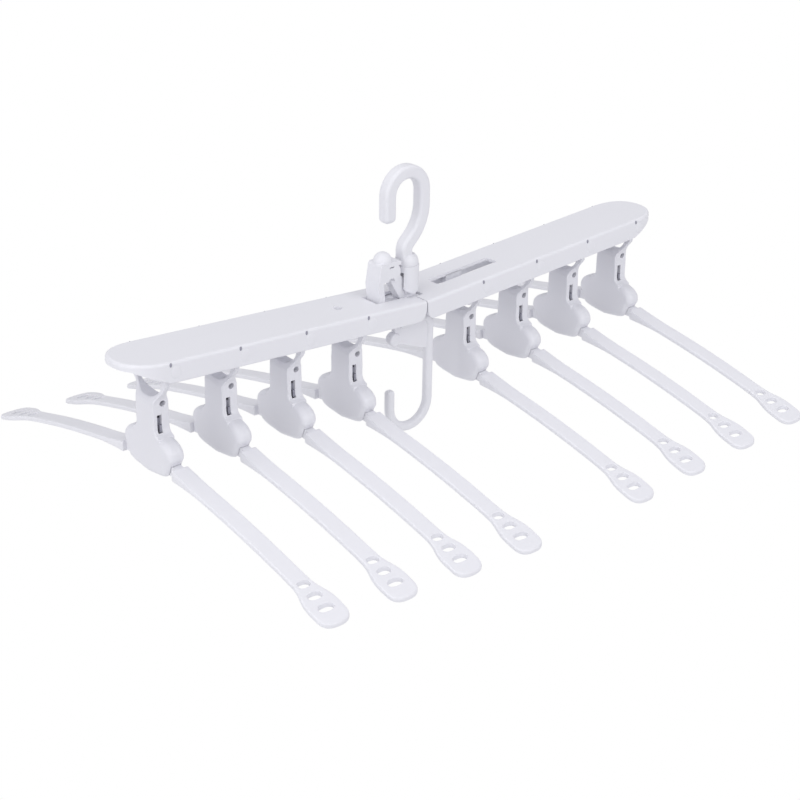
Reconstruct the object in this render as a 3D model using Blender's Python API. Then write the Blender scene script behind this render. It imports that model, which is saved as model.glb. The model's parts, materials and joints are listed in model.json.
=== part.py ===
# Tiered folding clothes hanger: two folding wings carry eight small hangers on trunnion pins.
# Lengths are in millimetres and pass through MM; +Z is up, +X runs along the right wing,
# and the origin is the inner top of the upper hook, where the hanger rests on a rail.
import math

import bmesh
import bpy
from mathutils import Matrix, Vector

MM = 0.001

# Fits and shared clearances
GAP = 0.3
RUNNING_GAP = 0.35
OVERRUN = 1.0
WELD = 0.002

# Wings: inverted trays, each on its own hinge pin in the hub
UNITS_PER_WING = 4
WING_RISE_DEG = 3.5
WING_HALF_WIDTH = 20.0
WING_DEPTH = 12.8
WING_TOP = 2.0
WING_WALL = 2.4
WING_EDGE_ROUND = 4.0
WING_STRAIGHT = 188.0
WING_NOSE = 25.0
WING_NOSE_POWER = 2.5
HOLLOW_NOSE_POWER = 3.0
WING_NOSE_STEPS = 6
NOSE_LIP = 5.0
NOSE_LIP_RUN = 5.0
NOSE_SLOPE_RUN = 9.0
HINGE_OUT = 7.5
HINGE_DROP = 6.0
KNUCKLE_RADIUS = 6.8
KNUCKLE_STEPS = 5
PLATE_START = 5.8
TAB_INNER = 11.2
LATCH_NOTCH_END = 30.0
LATCH_NOTCH_HALF = 7.2
VENT_HOLE_RADIUS = 3.5
VENT_HOLE_PLACE = 54.5
NEST_START = 22.2
NEST_END = 73.4
NEST_HALF = 4.9
NEST_CORNER = 1.8

# Trunnion pins that carry each small hanger
TRUNNION_DROP = 6.2
TRUNNION_RADIUS = 2.2
TRUNNION_SEAT = 1.8
TRUNNION_REACH = 1.5

# Small hanger body, two shells split on its middle plane
SHELL_HALF = 5.5
SHELL_WALL = 2.2
SHELL_EDGE = 1.6
SPLIT_GAP = 0.15
EAR_HALF = 2.7
EAR_OUTER = 16.8
EAR_INNER = 12.6
EAR_TOP_RADIUS = 2.8
NOTCH_CENTRE_DROP = 6.0
NOTCH_DEPTH = 12.8
NOTCH_STEPS = 4
NECK_HALF = 9.5
NECK_TOP_DROP = 21.0
EAR_SHOULDER_DROP = 9.5
SHOULDER_DROP = 38.6
SHOULDER_STEP = 1.6
SHOULDER_SLOPE_DROP = 2.6
BULGE_HALF = 23.6
BULGE_TOP_DROP = 44.4
BULGE_BROW_RISE = 0.6
BULGE_CORNER_DROP = 1.4
BULGE_FLANK_DROP = 4.5
BULGE_SIDE_DROP = 52.8
MOUTH_TOP_DROP = 55.6
MOUTH_TOP_HALF = 21.6
MOUTH_LOW_DROP = 61.9
MOUTH_LOW_HALF = 18.8
BELLY_DROP = 66.3
BELLY_HALF = 10.0
BELLY_CORNER_RISE = 2.0
BELLY_FLAT_RISE = 0.2
THROAT_MIDDLE_RISE = 1.7
THROAT_SIDE_RISE = 5.4
WINDOW_TOP_DROP = 28.8
WINDOW_LOW_DROP = 41.8
WINDOW_HALF = 1.7
EYELET_DROP = 21.8
EYELET_RADIUS = 1.7
EYELET_DEPTH = 3.2
CAVITY_TOP_DROP = 25.0

# Arms: one curved ribbon each way, ending in a pierced paddle
ARM_PIVOT_OUT = 17.6
ARM_PIVOT_DROP = 58.5
ARM_PIN_RADIUS = 1.7
ARM_EYE_RADIUS = 3.3
ARM_TONGUE_HALF = 2.9
ARM_HALF_WIDTH = 5.75
ARM_ROOT_START = 6.6
ARM_ROOT_HEIGHT = 7.0
ARM_THICKNESS = 3.0
ARM_ROOT_TAPER = 26.0
ARM_SPAN = 164.2
ARM_START_SLOPE = 0.1225
ARM_CURVE_DROP = 13.9
ARM_STATIONS = 6
PADDLE_HALF = 10.0
PADDLE_LENGTH = 37.0
PADDLE_HOLE_PITCH = 9.2
PADDLE_HOLE_INSET = 11.3
PADDLE_HOLE_HALF = 5.0
PADDLE_HOLE_SHRINK = 0.6
PADDLE_HOLE_DEPTH = 2.5
ARM_FOLD_DEG = 75.0

# Lock slider inside each small hanger
SLIDER_HALF = 1.4
SLIDER_TAB_DROP = 35.2
SLIDER_TAB_HEIGHT = 4.5
SLIDER_TAB_OUT = 8.7
SLIDER_BODY_HALF = 6.6
SLIDER_TOP_DROP = 31.6
SLIDER_NECK_HALF = 3.6
SLIDER_NECK_DROP = 45.6
SLIDER_FOOT_DROP = 54.6
SLIDER_FOOT_HEIGHT = 5.0
SLIDER_FOOT_HALF = 13.2
SLIDER_TRAVEL = 3.0

# Hub between the wings
HUB_HALF_LENGTH = 8.4
HUB_HALF_WIDTH = 14.4
HUB_TOP_DROP = 0.9
HUB_FLAT_DROP = 2.4
HUB_PEDESTAL_HALF = 10.6
HUB_BOTTOM_DROP = 14.4
HINGE_PIN_RADIUS = 2.0
HUB_EYE_RADIUS = 3.7
HUB_SHOULDER = 5.2
TONGUE_HALF = 4.6
TONGUE_RADIUS = 4.0
TONGUE_STEPS = 8
YOKE_PIVOT = 9.5
YOKE_RADIUS = 8.5
YOKE_TOP = 19.0
YOKE_GAP_TOP = 15.4
YOKE_PIN_RADIUS = 2.0
YOKE_PIN_HALF = 7.0
YOKE_STEPS = 24
LATCH_LUG_HALF = 3.4
LATCH_PIVOT_OUT = 15.5
LATCH_PIVOT = 18.0
LATCH_EYE_RADIUS = 3.4
LATCH_PIN_RADIUS = 1.5
LATCH_FORK_OUTER = 6.2
LATCH_OUT_NEAR = 18.9
LATCH_OUT_FAR = 27.6
LATCH_LOW = 13.0
LATCH_HIGH = 25.0
LATCH_FOOT_OUT = 25.8
LATCH_FOOT_LOW = -1.0
LATCH_FOOT_WIDTH = 4.0
LATCH_DOME_RADIUS = 6.0
LATCH_DOME_OUT = 19.4
LATCH_DOME_RISE = 5.8
LATCH_FORK_END = 10.8
LATCH_ROOF_LOW = 22.2
LATCH_ROOF_END = 10.8

# Upper hook and its swivel
HOOK_LOOP_RADIUS = 13.65
HOOK_LOOP_CENTRE = 64.3
HOOK_BAR_THICK = 8.4
HOOK_BAR_WIDE = 8.4
HOOK_TIP_DROP = 12.5
HOOK_LEAN_DEG = 45.0
HOOK_LEAN_RADIUS = 6.0
HOOK_RETURN_RADIUS = 28.0
HOOK_CORNER_SHARE = 0.22
COLLAR_RADIUS = 8.0
COLLAR_TOP = 25.8
COLLAR_CROWN = 5.6
COLLAR_STEPS = 20
RIVET_RADIUS = 2.2
RIVET_HEAD_RADIUS = 3.6
RIVET_HEAD_HEIGHT = 1.4

# Lower hook, a second hanging point under the hub
LOWER_PLATE_RADIUS = 7.0
LOWER_PLATE_HEIGHT = 3.2
LOWER_STUD_RADIUS = 2.4
LOWER_STUD_HEIGHT = 4.6
LOWER_BAR = 5.6
LOWER_LOOP_RADIUS = 15.9
LOWER_LOOP_OFFSET = 3.4
LOWER_LOOP_DROP = 75.6
LOWER_TIP_RISE = 10.5
LOWER_WEB_HALF = 1.6
LOWER_WEB_DROP = 42.0
LOWER_BEAK_OUT = 10.0
LOWER_BEAK_DROP = 28.6
LOWER_BEAK_RADIUS = 4.4

# Places worked out from the sizes above, measured from the wings' top line at the centre
RISE = math.radians(WING_RISE_DEG)
HINGE_X = HINGE_OUT * math.cos(RISE) + HINGE_DROP * math.sin(RISE)
HINGE_Z = HINGE_OUT * math.sin(RISE) - HINGE_DROP * math.cos(RISE)
HOOK_APEX_Z = HOOK_LOOP_CENTRE + HOOK_LOOP_RADIUS - HOOK_BAR_THICK / 2
FLANGE_INNER = WING_HALF_WIDTH - WING_WALL
WING_INNER_END = HINGE_OUT - KNUCKLE_RADIUS
UNIT_PITCH = WING_STRAIGHT / UNITS_PER_WING

WHITE = (0.80, 0.80, 0.84, 1.0)
SHELL_WHITE = (0.78, 0.78, 0.82, 1.0)
ARM_WHITE = (0.80, 0.80, 0.84, 1.0)
PIN_STEEL = (0.62, 0.63, 0.65, 1.0)


def clear_scene():
    for obj in list(bpy.data.objects):
        bpy.data.objects.remove(obj, do_unlink=True)


def material(name, colour, roughness, metallic):
    mat = bpy.data.materials.new(name)
    mat.use_nodes = True
    shader = mat.node_tree.nodes["Principled BSDF"]
    shader.inputs["Base Color"].default_value = colour
    shader.inputs["Roughness"].default_value = roughness
    shader.inputs["Metallic"].default_value = metallic
    return mat


def object_from(name, vertices, faces):
    """A linked object from points in millimetres."""
    mesh = bpy.data.meshes.new(name)
    mesh.from_pydata([Vector(v) * MM for v in vertices], [], faces)
    mesh.validate()
    bm = bmesh.new()
    bm.from_mesh(mesh)
    bmesh.ops.recalc_face_normals(bm, faces=bm.faces)
    bm.to_mesh(mesh)
    bm.free()
    obj = bpy.data.objects.new(name, mesh)
    bpy.context.scene.collection.objects.link(obj)
    return obj


def point_on(axis, along, u, v):
    """A point at `along` on the axis, with u and v on the other two in X, Y, Z order."""
    if axis == "x":
        return (along, u, v)
    if axis == "y":
        return (u, along, v)
    return (u, v, along)


def layered(name, axis, layers):
    """A closed solid through equal-sized outlines, each at its own place on the axis."""
    count = len(layers[0][1])
    vertices = [point_on(axis, along, u, v) for along, outline in layers for u, v in outline]
    faces = [tuple(range(count)), tuple(range(len(vertices) - count, len(vertices)))]
    for k in range(len(layers) - 1):
        for i in range(count):
            j = (i + 1) % count
            faces.append((k * count + i, k * count + j, (k + 1) * count + j, (k + 1) * count + i))
    return object_from(name, vertices, faces)


def prism(name, axis, outline, low, high):
    return layered(name, axis, [(low, outline), (high, outline)])


def block(name, x_range, y_range, z_range):
    (x0, x1), (y0, y1) = x_range, y_range
    return prism(name, "z", [(x0, y0), (x1, y0), (x1, y1), (x0, y1)], *z_range)


def arc(centre, radius, start_deg, end_deg, steps):
    """Points on an arc, both ends included."""
    points = []
    for k in range(steps + 1):
        a = math.radians(start_deg + (end_deg - start_deg) * k / steps)
        points.append((centre[0] + radius * math.cos(a), centre[1] + radius * math.sin(a)))
    return points


def circle(centre, radius, steps):
    return arc(centre, radius, 0, 360, steps)[:-1]


def rod(name, axis, centre, radius, low, high, steps=12):
    return prism(name, axis, circle(centre, radius, steps), low, high)


def turned(name, profile, steps):
    """A solid of revolution about Z from (radius, height) points, closed on the axis."""
    layers = [(z, circle((0, 0), r, steps)) for r, z in profile]
    return layered(name, "z", layers)


def swept(name, path, thick, wide, corner_share):
    """A bar of rounded rectangular section along a path in the XZ plane."""
    half_t, half_w = thick / 2, wide / 2
    corner = min(half_t, half_w) * 2 * corner_share
    section = [(half_t, -half_w + corner), (half_t, half_w - corner), (half_t - corner, half_w),
               (-half_t + corner, half_w), (-half_t, half_w - corner), (-half_t, -half_w + corner),
               (-half_t + corner, -half_w), (half_t - corner, -half_w)]
    vertices, rings = [], []
    for k, (x, z, scale) in enumerate(path):
        x0, z0, _ = path[max(k - 1, 0)]
        x1, z1, _ = path[min(k + 1, len(path) - 1)]
        along = Vector((x1 - x0, z1 - z0)).normalized()
        across = Vector((along.y, -along.x))
        rings.append(len(vertices))
        for t, w in section:
            vertices.append((x + across.x * t * scale, w * scale, z + across.y * t * scale))
    count = len(section)
    faces = [tuple(range(count)), tuple(range(len(vertices) - count, len(vertices)))]
    for a, b in zip(rings, rings[1:]):
        for i in range(count):
            j = (i + 1) % count
            faces.append((a + i, a + j, b + j, b + i))
    return object_from(name, vertices, faces)


def combine(target, others, operation):
    """Applies one exact Boolean for each other solid, and removes it."""
    for other in others:
        modifier = target.modifiers.new("combine", "BOOLEAN")
        modifier.operation = operation
        modifier.solver = "EXACT"
        modifier.object = other
        graph = bpy.context.evaluated_depsgraph_get()
        mesh = bpy.data.meshes.new_from_object(target.evaluated_get(graph))
        target.modifiers.clear()
        old = target.data
        target.data = mesh
        bpy.data.meshes.remove(old)
        bpy.data.objects.remove(other, do_unlink=True)
    return target


def join(target, *others):
    return combine(target, others, "UNION")


def cut(target, *others):
    return combine(target, others, "DIFFERENCE")


def clean(obj, angle_deg=30):
    """Merges the slivers that Booleans leave and shades round stretches smooth."""
    bm = bmesh.new()
    bm.from_mesh(obj.data)
    bmesh.ops.remove_doubles(bm, verts=bm.verts, dist=WELD * MM)
    bmesh.ops.dissolve_limit(bm, angle_limit=math.radians(0.05), verts=bm.verts, edges=bm.edges)
    bmesh.ops.triangulate(bm, faces=bm.faces)
    bmesh.ops.recalc_face_normals(bm, faces=bm.faces)
    bm.to_mesh(obj.data)
    bm.free()
    obj.data.shade_smooth()
    obj.data.set_sharp_from_angle(angle=math.radians(angle_deg))
    return obj


def finish(obj, mat, parent):
    obj.data.materials.clear()
    obj.data.materials.append(mat)
    obj.parent = parent
    return obj


def mirrored_x(outline):
    return [(-u, v) for u, v in reversed(outline)]


def wing_plan(side, start, inset, nose_power=WING_NOSE_POWER):
    """Half-ellipse-nosed plan of a wing, drawn in by `inset`."""
    half = WING_HALF_WIDTH - inset
    nose = WING_NOSE - inset
    points = [(start, -half), (WING_STRAIGHT, -half)]
    power = 2 / nose_power
    for k in range(1, 2 * WING_NOSE_STEPS):
        a = math.pi * (k / (2 * WING_NOSE_STEPS) - 0.5)
        across = math.copysign(abs(math.sin(a)) ** power, a) if a else 0.0
        points.append((WING_STRAIGHT + nose * math.cos(a) ** power, half * across))
    points += [(WING_STRAIGHT, half), (start, half)]
    return points if side > 0 else mirrored_x(points)


def wing(name, side):
    """One wing: x along it from the hanger's centre, z = 0 on its top plane."""
    low = -WING_DEPTH
    edge = WING_EDGE_ROUND
    width = WING_HALF_WIDTH + OVERRUN
    body = layered(name, "z", [
        (low, wing_plan(side, WING_INNER_END, 0)),
        (-edge, wing_plan(side, WING_INNER_END, 0)),
        (-edge * 0.3, wing_plan(side, WING_INNER_END, edge * 0.3)),
        (0.0, wing_plan(side, WING_INNER_END, edge))])
    open_end = WING_INNER_END - OVERRUN
    hollow = prism("hollow", "z", wing_plan(side, open_end, WING_WALL, HOLLOW_NOSE_POWER),
                   low - OVERRUN, -WING_TOP)
    relief = [(open_end, -HINGE_DROP)]
    relief += arc((HINGE_OUT, -HINGE_DROP), KNUCKLE_RADIUS, 180, 270, KNUCKLE_STEPS)
    relief += [(HINGE_OUT, low - OVERRUN), (open_end, low - OVERRUN)]
    if side < 0:
        relief = mirrored_x(relief)
    window_x = sorted((side * open_end, side * PLATE_START))
    cut(body, hollow, prism("relief", "y", relief, -width, width),
        block("hub_window", window_x, (-TAB_INNER, TAB_INNER), (-WING_TOP - OVERRUN, OVERRUN)))
    tip = WING_STRAIGHT + WING_NOSE
    slope = [(tip + OVERRUN, -NOSE_LIP), (tip - NOSE_LIP_RUN, -NOSE_LIP),
             (tip - NOSE_LIP_RUN - NOSE_SLOPE_RUN, low - OVERRUN), (tip + OVERRUN, low - OVERRUN)]
    if side < 0:
        slope = mirrored_x(slope)
    cut(body, prism("nose_slope", "y", slope, -width, width))
    seat = FLANGE_INNER + TRUNNION_SEAT
    for k in range(1, UNITS_PER_WING + 1):
        place = (side * k * UNIT_PITCH, -TRUNNION_DROP)
        cut(body, rod("seat", "y", place, TRUNNION_RADIUS + RUNNING_GAP, -seat, seat))
    hinge = (side * HINGE_OUT, -HINGE_DROP)
    cut(body, rod("hinge_bore", "y", hinge, HINGE_PIN_RADIUS + RUNNING_GAP, -seat, seat))
    plate_low, plate_high = -WING_TOP - OVERRUN, OVERRUN
    if side < 0:
        notch = LATCH_NOTCH_HALF
        cut(body,
            block("notch", (-LATCH_NOTCH_END, -PLATE_START + OVERRUN), (-notch, notch),
                  (plate_low, plate_high)),
            rod("vent", "z", (-VENT_HOLE_PLACE, 0), VENT_HOLE_RADIUS, plate_low, plate_high, 16))
    else:
        half, corner = NEST_HALF, NEST_CORNER
        nest = [(NEST_START, -half + corner), (NEST_START + corner, -half), (NEST_END - corner, -half),
                (NEST_END, -half + corner), (NEST_END, half - corner), (NEST_END - corner, half),
                (NEST_START + corner, half), (NEST_START, half - corner)]
        cut(body, prism("nest", "z", nest, plate_low, plate_high))
    for vertex in body.data.vertices:
        vertex.co.x -= side * HINGE_OUT * MM
        vertex.co.z += HINGE_DROP * MM
    return clean(body)


def ear_outline():
    """Half outline of the forked ear plate, from the notch floor round the ear to the neck."""
    notch = []
    for k in range(NOTCH_STEPS + 1):
        a = math.pi / 2 * k / NOTCH_STEPS
        notch.append((EAR_INNER * math.sin(a), -NOTCH_CENTRE_DROP - NOTCH_DEPTH * math.cos(a)))
    crown = [(EAR_INNER, EAR_TOP_RADIUS), (EAR_OUTER, EAR_TOP_RADIUS)]
    flare = [(EAR_OUTER, -EAR_SHOULDER_DROP),
             ((EAR_OUTER + NECK_HALF) / 2, -(EAR_SHOULDER_DROP + NECK_TOP_DROP) / 2),
             (NECK_HALF, -NECK_TOP_DROP)]
    return notch + crown + flare


def body_outline(inset=0.0):
    """Half outline of the thick body below the ears, drawn in by `inset`."""
    neck = NECK_HALF - inset
    return [
        (neck, -NECK_TOP_DROP - inset),
        (neck, -SHOULDER_DROP),
        (neck + SHOULDER_STEP, -SHOULDER_DROP - SHOULDER_SLOPE_DROP - inset * 0.5),
        (BULGE_HALF * 0.76, -BULGE_TOP_DROP + BULGE_BROW_RISE - inset),
        (BULGE_HALF * 0.93 - inset * 0.5, -BULGE_TOP_DROP - BULGE_CORNER_DROP - inset * 0.8),
        (BULGE_HALF - inset, -BULGE_TOP_DROP - BULGE_FLANK_DROP - inset * 0.4),
        (BULGE_HALF - inset, -BULGE_SIDE_DROP + inset * 0.3),
        (MOUTH_TOP_HALF - inset * 0.6, -MOUTH_TOP_DROP),
        (MOUTH_LOW_HALF - inset * 0.7, -MOUTH_LOW_DROP + inset * 0.7),
        (BELLY_HALF, -BELLY_DROP + BELLY_CORNER_RISE + inset),
        (BELLY_HALF * 0.45, -BELLY_DROP + BELLY_FLAT_RISE + inset)]


def both_sides(half):
    """A closed outline from its right half."""
    left = [(-u, v) for u, v in reversed(half) if abs(u) > WELD]
    return half + left


def throat(inset):
    """The thick body's upper stretch, where the neck opens into the two ears."""
    rise = (EAR_SHOULDER_DROP + NECK_TOP_DROP) / 2
    floor = NOTCH_CENTRE_DROP + NOTCH_DEPTH
    return [(0.0, -floor - inset), (EAR_INNER * 0.5, -floor + THROAT_MIDDLE_RISE - inset),
            (EAR_INNER * 0.82, -floor + THROAT_SIDE_RISE - inset * 0.6),
            ((EAR_OUTER + NECK_HALF) / 2 - inset, -rise - inset * 0.4)]


def shell(name, side):
    """Half of a small hanger's body, about its trunnion axis."""
    def x(value):
        return side * value
    ears = prism(name, "x", both_sides(ear_outline() + [(0.0, -NECK_TOP_DROP - OVERRUN)]),
                 x(SPLIT_GAP), x(EAR_HALF))
    layers = []
    for along, inset in ((SPLIT_GAP, 0.0), (SHELL_HALF - SHELL_EDGE, 0.0), (SHELL_HALF, SHELL_EDGE)):
        layers.append((x(along), both_sides(throat(inset) + body_outline(inset))))
    join(ears, layered("body", "x", layers))
    wall = SHELL_WALL
    inside = body_outline(wall)[1:]
    inside[0] = (NECK_HALF - wall, -CAVITY_TOP_DROP)
    inside.insert(1, (NECK_HALF - wall, -SHOULDER_DROP))
    depth = SHELL_HALF - wall
    cut(ears, prism("hollow", "x", both_sides(inside), x(-OVERRUN), x(depth)))
    for across in (-1, 1):
        pivot = (across * ARM_PIVOT_OUT, -ARM_PIVOT_DROP)
        rest = ARM_PIVOT_DROP - MOUTH_TOP_DROP
        reach = ARM_ROOT_HEIGHT * 2
        mouth = [(pivot[0] - across * ARM_EYE_RADIUS, pivot[1]), (pivot[0], pivot[1] + rest + GAP),
                 (pivot[0] + across * reach, pivot[1] + rest + GAP),
                 (pivot[0] + across * reach, pivot[1] - reach),
                 (pivot[0] - across * (ARM_EYE_RADIUS + reach * 0.3), pivot[1] - reach)]
        cut(ears, prism("mouth", "x", mouth, x(-OVERRUN), x(depth)))
        window = sorted((across * (NECK_HALF - wall - OVERRUN), across * (NECK_HALF + OVERRUN)))
        window_x = sorted((x(-OVERRUN), x(WINDOW_HALF)))
        cut(ears, block("window", window_x, window, (-WINDOW_LOW_DROP, -WINDOW_TOP_DROP)))
        eye = sorted((across * (NECK_HALF - EYELET_DEPTH), across * (EAR_OUTER)))
        cut(ears, rod("eyelet", "y", (0, -EYELET_DROP), EYELET_RADIUS, eye[0], eye[1], 6))
        pin_x = sorted((x(depth + wall / 2), x(SPLIT_GAP)))
        join(ears, rod("arm_pin", "x", pivot, ARM_PIN_RADIUS, pin_x[0], pin_x[1], 8))
        ends = sorted((across * (EAR_OUTER - OVERRUN), across * (FLANGE_INNER + TRUNNION_REACH)))
        half_round = arc((x(SPLIT_GAP), 0), TRUNNION_RADIUS - SPLIT_GAP, -90, 90, 4)
        if side < 0:
            half_round = arc((x(SPLIT_GAP), 0), TRUNNION_RADIUS - SPLIT_GAP, 90, 270, 4)
        join(ears, prism("trunnion", "y", half_round, ends[0], ends[1]))
    return clean(ears)


def arm_height(out):
    """Centreline drop of an arm at a distance out from its pivot."""
    length = ARM_SPAN - ARM_PIVOT_OUT
    return ARM_START_SLOPE * out + ARM_CURVE_DROP * (out / length) ** 2


def arm(name, across):
    """One arm about its pivot, running out along +Y or -Y."""
    length = ARM_SPAN - ARM_PIVOT_OUT
    stations = []
    plain_end = length - PADDLE_LENGTH
    for k in range(ARM_STATIONS + 1):
        out = ARM_ROOT_START + (plain_end - ARM_ROOT_START) * (k / ARM_STATIONS) ** 1.25
        stations.append((out, ARM_HALF_WIDTH))
    for along_share, width_share in ((0.24, 0.16), (0.46, 0.80), (0.64, 1.0), (0.82, 0.96),
                                     (0.95, 0.42), (1.0, -0.66)):
        half = ARM_HALF_WIDTH + (PADDLE_HALF - ARM_HALF_WIDTH) * width_share
        stations.append((plain_end + PADDLE_LENGTH * along_share, half))
    vertices, faces = [], []
    for out, half in stations:
        taper = max(0.0, 1 - (out - ARM_ROOT_START) / ARM_ROOT_TAPER)
        thick = ARM_THICKNESS + (ARM_ROOT_HEIGHT - ARM_THICKNESS) * taper ** 1.5
        middle = -arm_height(out)
        high, low = middle + thick / 2, middle - thick / 2
        bevel = ARM_THICKNESS * 0.25
        y = across * out
        vertices += [(-half, y, low), (half, y, low), (half, y, high - bevel), (half - bevel, y, high),
                     (-half + bevel, y, high), (-half, y, high - bevel)]
    count = 6
    faces = [tuple(range(count)), tuple(range(len(vertices) - count, len(vertices)))]
    for k in range(len(stations) - 1):
        for i in range(count):
            j = (i + 1) % count
            faces.append((k * count + i, k * count + j, (k + 1) * count + j, (k + 1) * count + i))
    ribbon = object_from(name, vertices, faces)
    neck_middle = -arm_height(ARM_ROOT_START)
    neck_half = ARM_ROOT_HEIGHT / 2 - GAP * 2
    neck_y = ARM_ROOT_START + OVERRUN
    tongue = arc((0, 0), ARM_EYE_RADIUS, 90, 270, 5)
    tongue += [(neck_y, neck_middle - neck_half), (neck_y, neck_middle + neck_half)]
    tongue = [(across * y, z) for y, z in tongue]
    join(ribbon, prism("tongue", "x", tongue, -ARM_TONGUE_HALF, ARM_TONGUE_HALF))
    cut(ribbon, rod("bore", "x", (0, 0), ARM_PIN_RADIUS + RUNNING_GAP, -SHELL_HALF, SHELL_HALF, 10))
    for k in range(3):
        out = length - PADDLE_HOLE_INSET - k * PADDLE_HOLE_PITCH
        half = PADDLE_HOLE_HALF - k * PADDLE_HOLE_SHRINK
        deep = PADDLE_HOLE_DEPTH
        y = across * out
        end = half - deep * 0.7
        hole = [(-half, y), (-end, y - deep), (end, y - deep), (half, y), (end, y + deep),
                (-end, y + deep)]
        middle = -arm_height(out)
        cut(ribbon, prism("hole", "z", hole, middle - ARM_THICKNESS * 2, middle + ARM_THICKNESS * 2))
    return clean(ribbon, 35)


def slider(name):
    """Lock slide in a small hanger's cavity, about its trunnion axis."""
    tab_low = SLIDER_TAB_DROP + SLIDER_TAB_HEIGHT
    half = [(0.0, -SLIDER_TOP_DROP), (SLIDER_BODY_HALF, -SLIDER_TOP_DROP),
            (SLIDER_BODY_HALF, -SLIDER_TAB_DROP), (SLIDER_TAB_OUT, -SLIDER_TAB_DROP),
            (SLIDER_TAB_OUT, -tab_low), (SLIDER_BODY_HALF, -tab_low),
            (SLIDER_BODY_HALF, -SLIDER_NECK_DROP + SLIDER_HALF),
            (SLIDER_NECK_HALF, -SLIDER_NECK_DROP), (SLIDER_NECK_HALF, -SLIDER_FOOT_DROP),
            (SLIDER_FOOT_HALF, -SLIDER_FOOT_DROP),
            (SLIDER_FOOT_HALF, -SLIDER_FOOT_DROP - SLIDER_FOOT_HEIGHT),
            (0.0, -SLIDER_FOOT_DROP - SLIDER_FOOT_HEIGHT)]
    left = [(-u, v) for u, v in reversed(half) if u > 0]
    return clean(prism(name, "x", half + left, -SLIDER_HALF, SLIDER_HALF))


def hub_body():
    """Block between the wings with the tongue for the hook yoke and the latch lug."""
    half_x, half_y = HUB_HALF_LENGTH, HUB_HALF_WIDTH
    top, low = -HUB_TOP_DROP, -HUB_BOTTOM_DROP
    corner = (HUB_BOTTOM_DROP - HUB_TOP_DROP) * 0.3
    right = [(half_x - corner, low), (half_x, low + corner)]
    right += arc((HINGE_X, HINGE_Z), HUB_EYE_RADIUS, -45, 90, 5)
    right.append((HUB_SHOULDER, -HUB_FLAT_DROP))
    hub = prism("hub_body", "y", right + mirrored_x(right), -half_y, half_y)
    join(hub, block("pedestal", (-HUB_SHOULDER, HUB_SHOULDER), (-HUB_PEDESTAL_HALF, HUB_PEDESTAL_HALF),
                    (-HUB_FLAT_DROP - OVERRUN, top)))
    tongue = [(-TONGUE_RADIUS, top - OVERRUN)] + [(TONGUE_RADIUS, top - OVERRUN)]
    tongue += arc((0, YOKE_PIVOT), TONGUE_RADIUS, 0, 180, TONGUE_STEPS)
    join(hub, prism("tongue", "y", tongue, -TONGUE_HALF, TONGUE_HALF))
    lug_low = top - OVERRUN
    eye = LATCH_EYE_RADIUS
    lug = [(-TONGUE_RADIUS + OVERRUN, lug_low), (-TONGUE_RADIUS + OVERRUN, YOKE_PIVOT - OVERRUN),
           (-YOKE_RADIUS - GAP * 2, YOKE_GAP_TOP - GAP * 2)]
    lug += arc((-LATCH_PIVOT_OUT, LATCH_PIVOT), eye, 0, 210, 7)
    lug += [(-HUB_HALF_LENGTH + OVERRUN, lug_low)]
    join(hub, prism("lug", "y", lug, -LATCH_LUG_HALF, LATCH_LUG_HALF))
    cut(hub,
        rod("left_hinge_bore", "y", (-HINGE_X, HINGE_Z), HINGE_PIN_RADIUS + RUNNING_GAP,
            -half_y - OVERRUN, half_y + OVERRUN),
        rod("right_hinge_bore", "y", (HINGE_X, HINGE_Z), HINGE_PIN_RADIUS + RUNNING_GAP,
            -half_y - OVERRUN, half_y + OVERRUN),
        rod("yoke_bore", "y", (0, YOKE_PIVOT), YOKE_PIN_RADIUS + RUNNING_GAP,
            -TONGUE_HALF - OVERRUN, TONGUE_HALF + OVERRUN),
        rod("latch_bore", "y", (-LATCH_PIVOT_OUT, LATCH_PIVOT), LATCH_PIN_RADIUS + RUNNING_GAP,
            -LATCH_LUG_HALF - OVERRUN, LATCH_LUG_HALF + OVERRUN, 8),
        rod("swivel_bore", "z", (0, 0), LOWER_STUD_RADIUS + RUNNING_GAP,
            low - OVERRUN, low + LOWER_STUD_HEIGHT + RUNNING_GAP))
    return clean(hub)


def hook_yoke():
    """Round fork over the hub's tongue; the hook's rivet turns in its roof."""
    column = rod("hook_yoke", "z", (0, 0), YOKE_RADIUS, YOKE_PIVOT, YOKE_TOP, YOKE_STEPS)
    drum = arc((0, YOKE_PIVOT), YOKE_RADIUS, 180, 360, YOKE_STEPS // 2)
    skirt = prism("skirt", "y", drum + [(YOKE_RADIUS, YOKE_PIVOT + OVERRUN),
                                        (-YOKE_RADIUS, YOKE_PIVOT + OVERRUN)],
                  -YOKE_RADIUS, YOKE_RADIUS)
    round_plan = rod("plan", "z", (0, 0), YOKE_RADIUS, -OVERRUN, YOKE_PIVOT + OVERRUN, YOKE_STEPS)
    combine(skirt, [round_plan], "INTERSECT")
    join(column, skirt)
    wide = YOKE_RADIUS + OVERRUN
    gap = TONGUE_HALF + GAP
    cut(column, block("fork_gap", (-wide, wide), (-gap, gap), (-OVERRUN, YOKE_GAP_TOP)))
    head = RIVET_HEAD_HEIGHT + RUNNING_GAP * 2
    cut(column,
        rod("pin_bore", "y", (0, YOKE_PIVOT), YOKE_PIN_RADIUS + RUNNING_GAP,
            -YOKE_PIN_HALF - GAP, YOKE_PIN_HALF + GAP),
        rod("rivet_bore", "z", (0, 0), RIVET_RADIUS + RUNNING_GAP, YOKE_GAP_TOP - OVERRUN,
            YOKE_TOP + OVERRUN),
        rod("rivet_seat", "z", (0, 0), RIVET_HEAD_RADIUS + RUNNING_GAP, YOKE_GAP_TOP - OVERRUN,
            YOKE_GAP_TOP + head))
    return clean(column)


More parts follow.
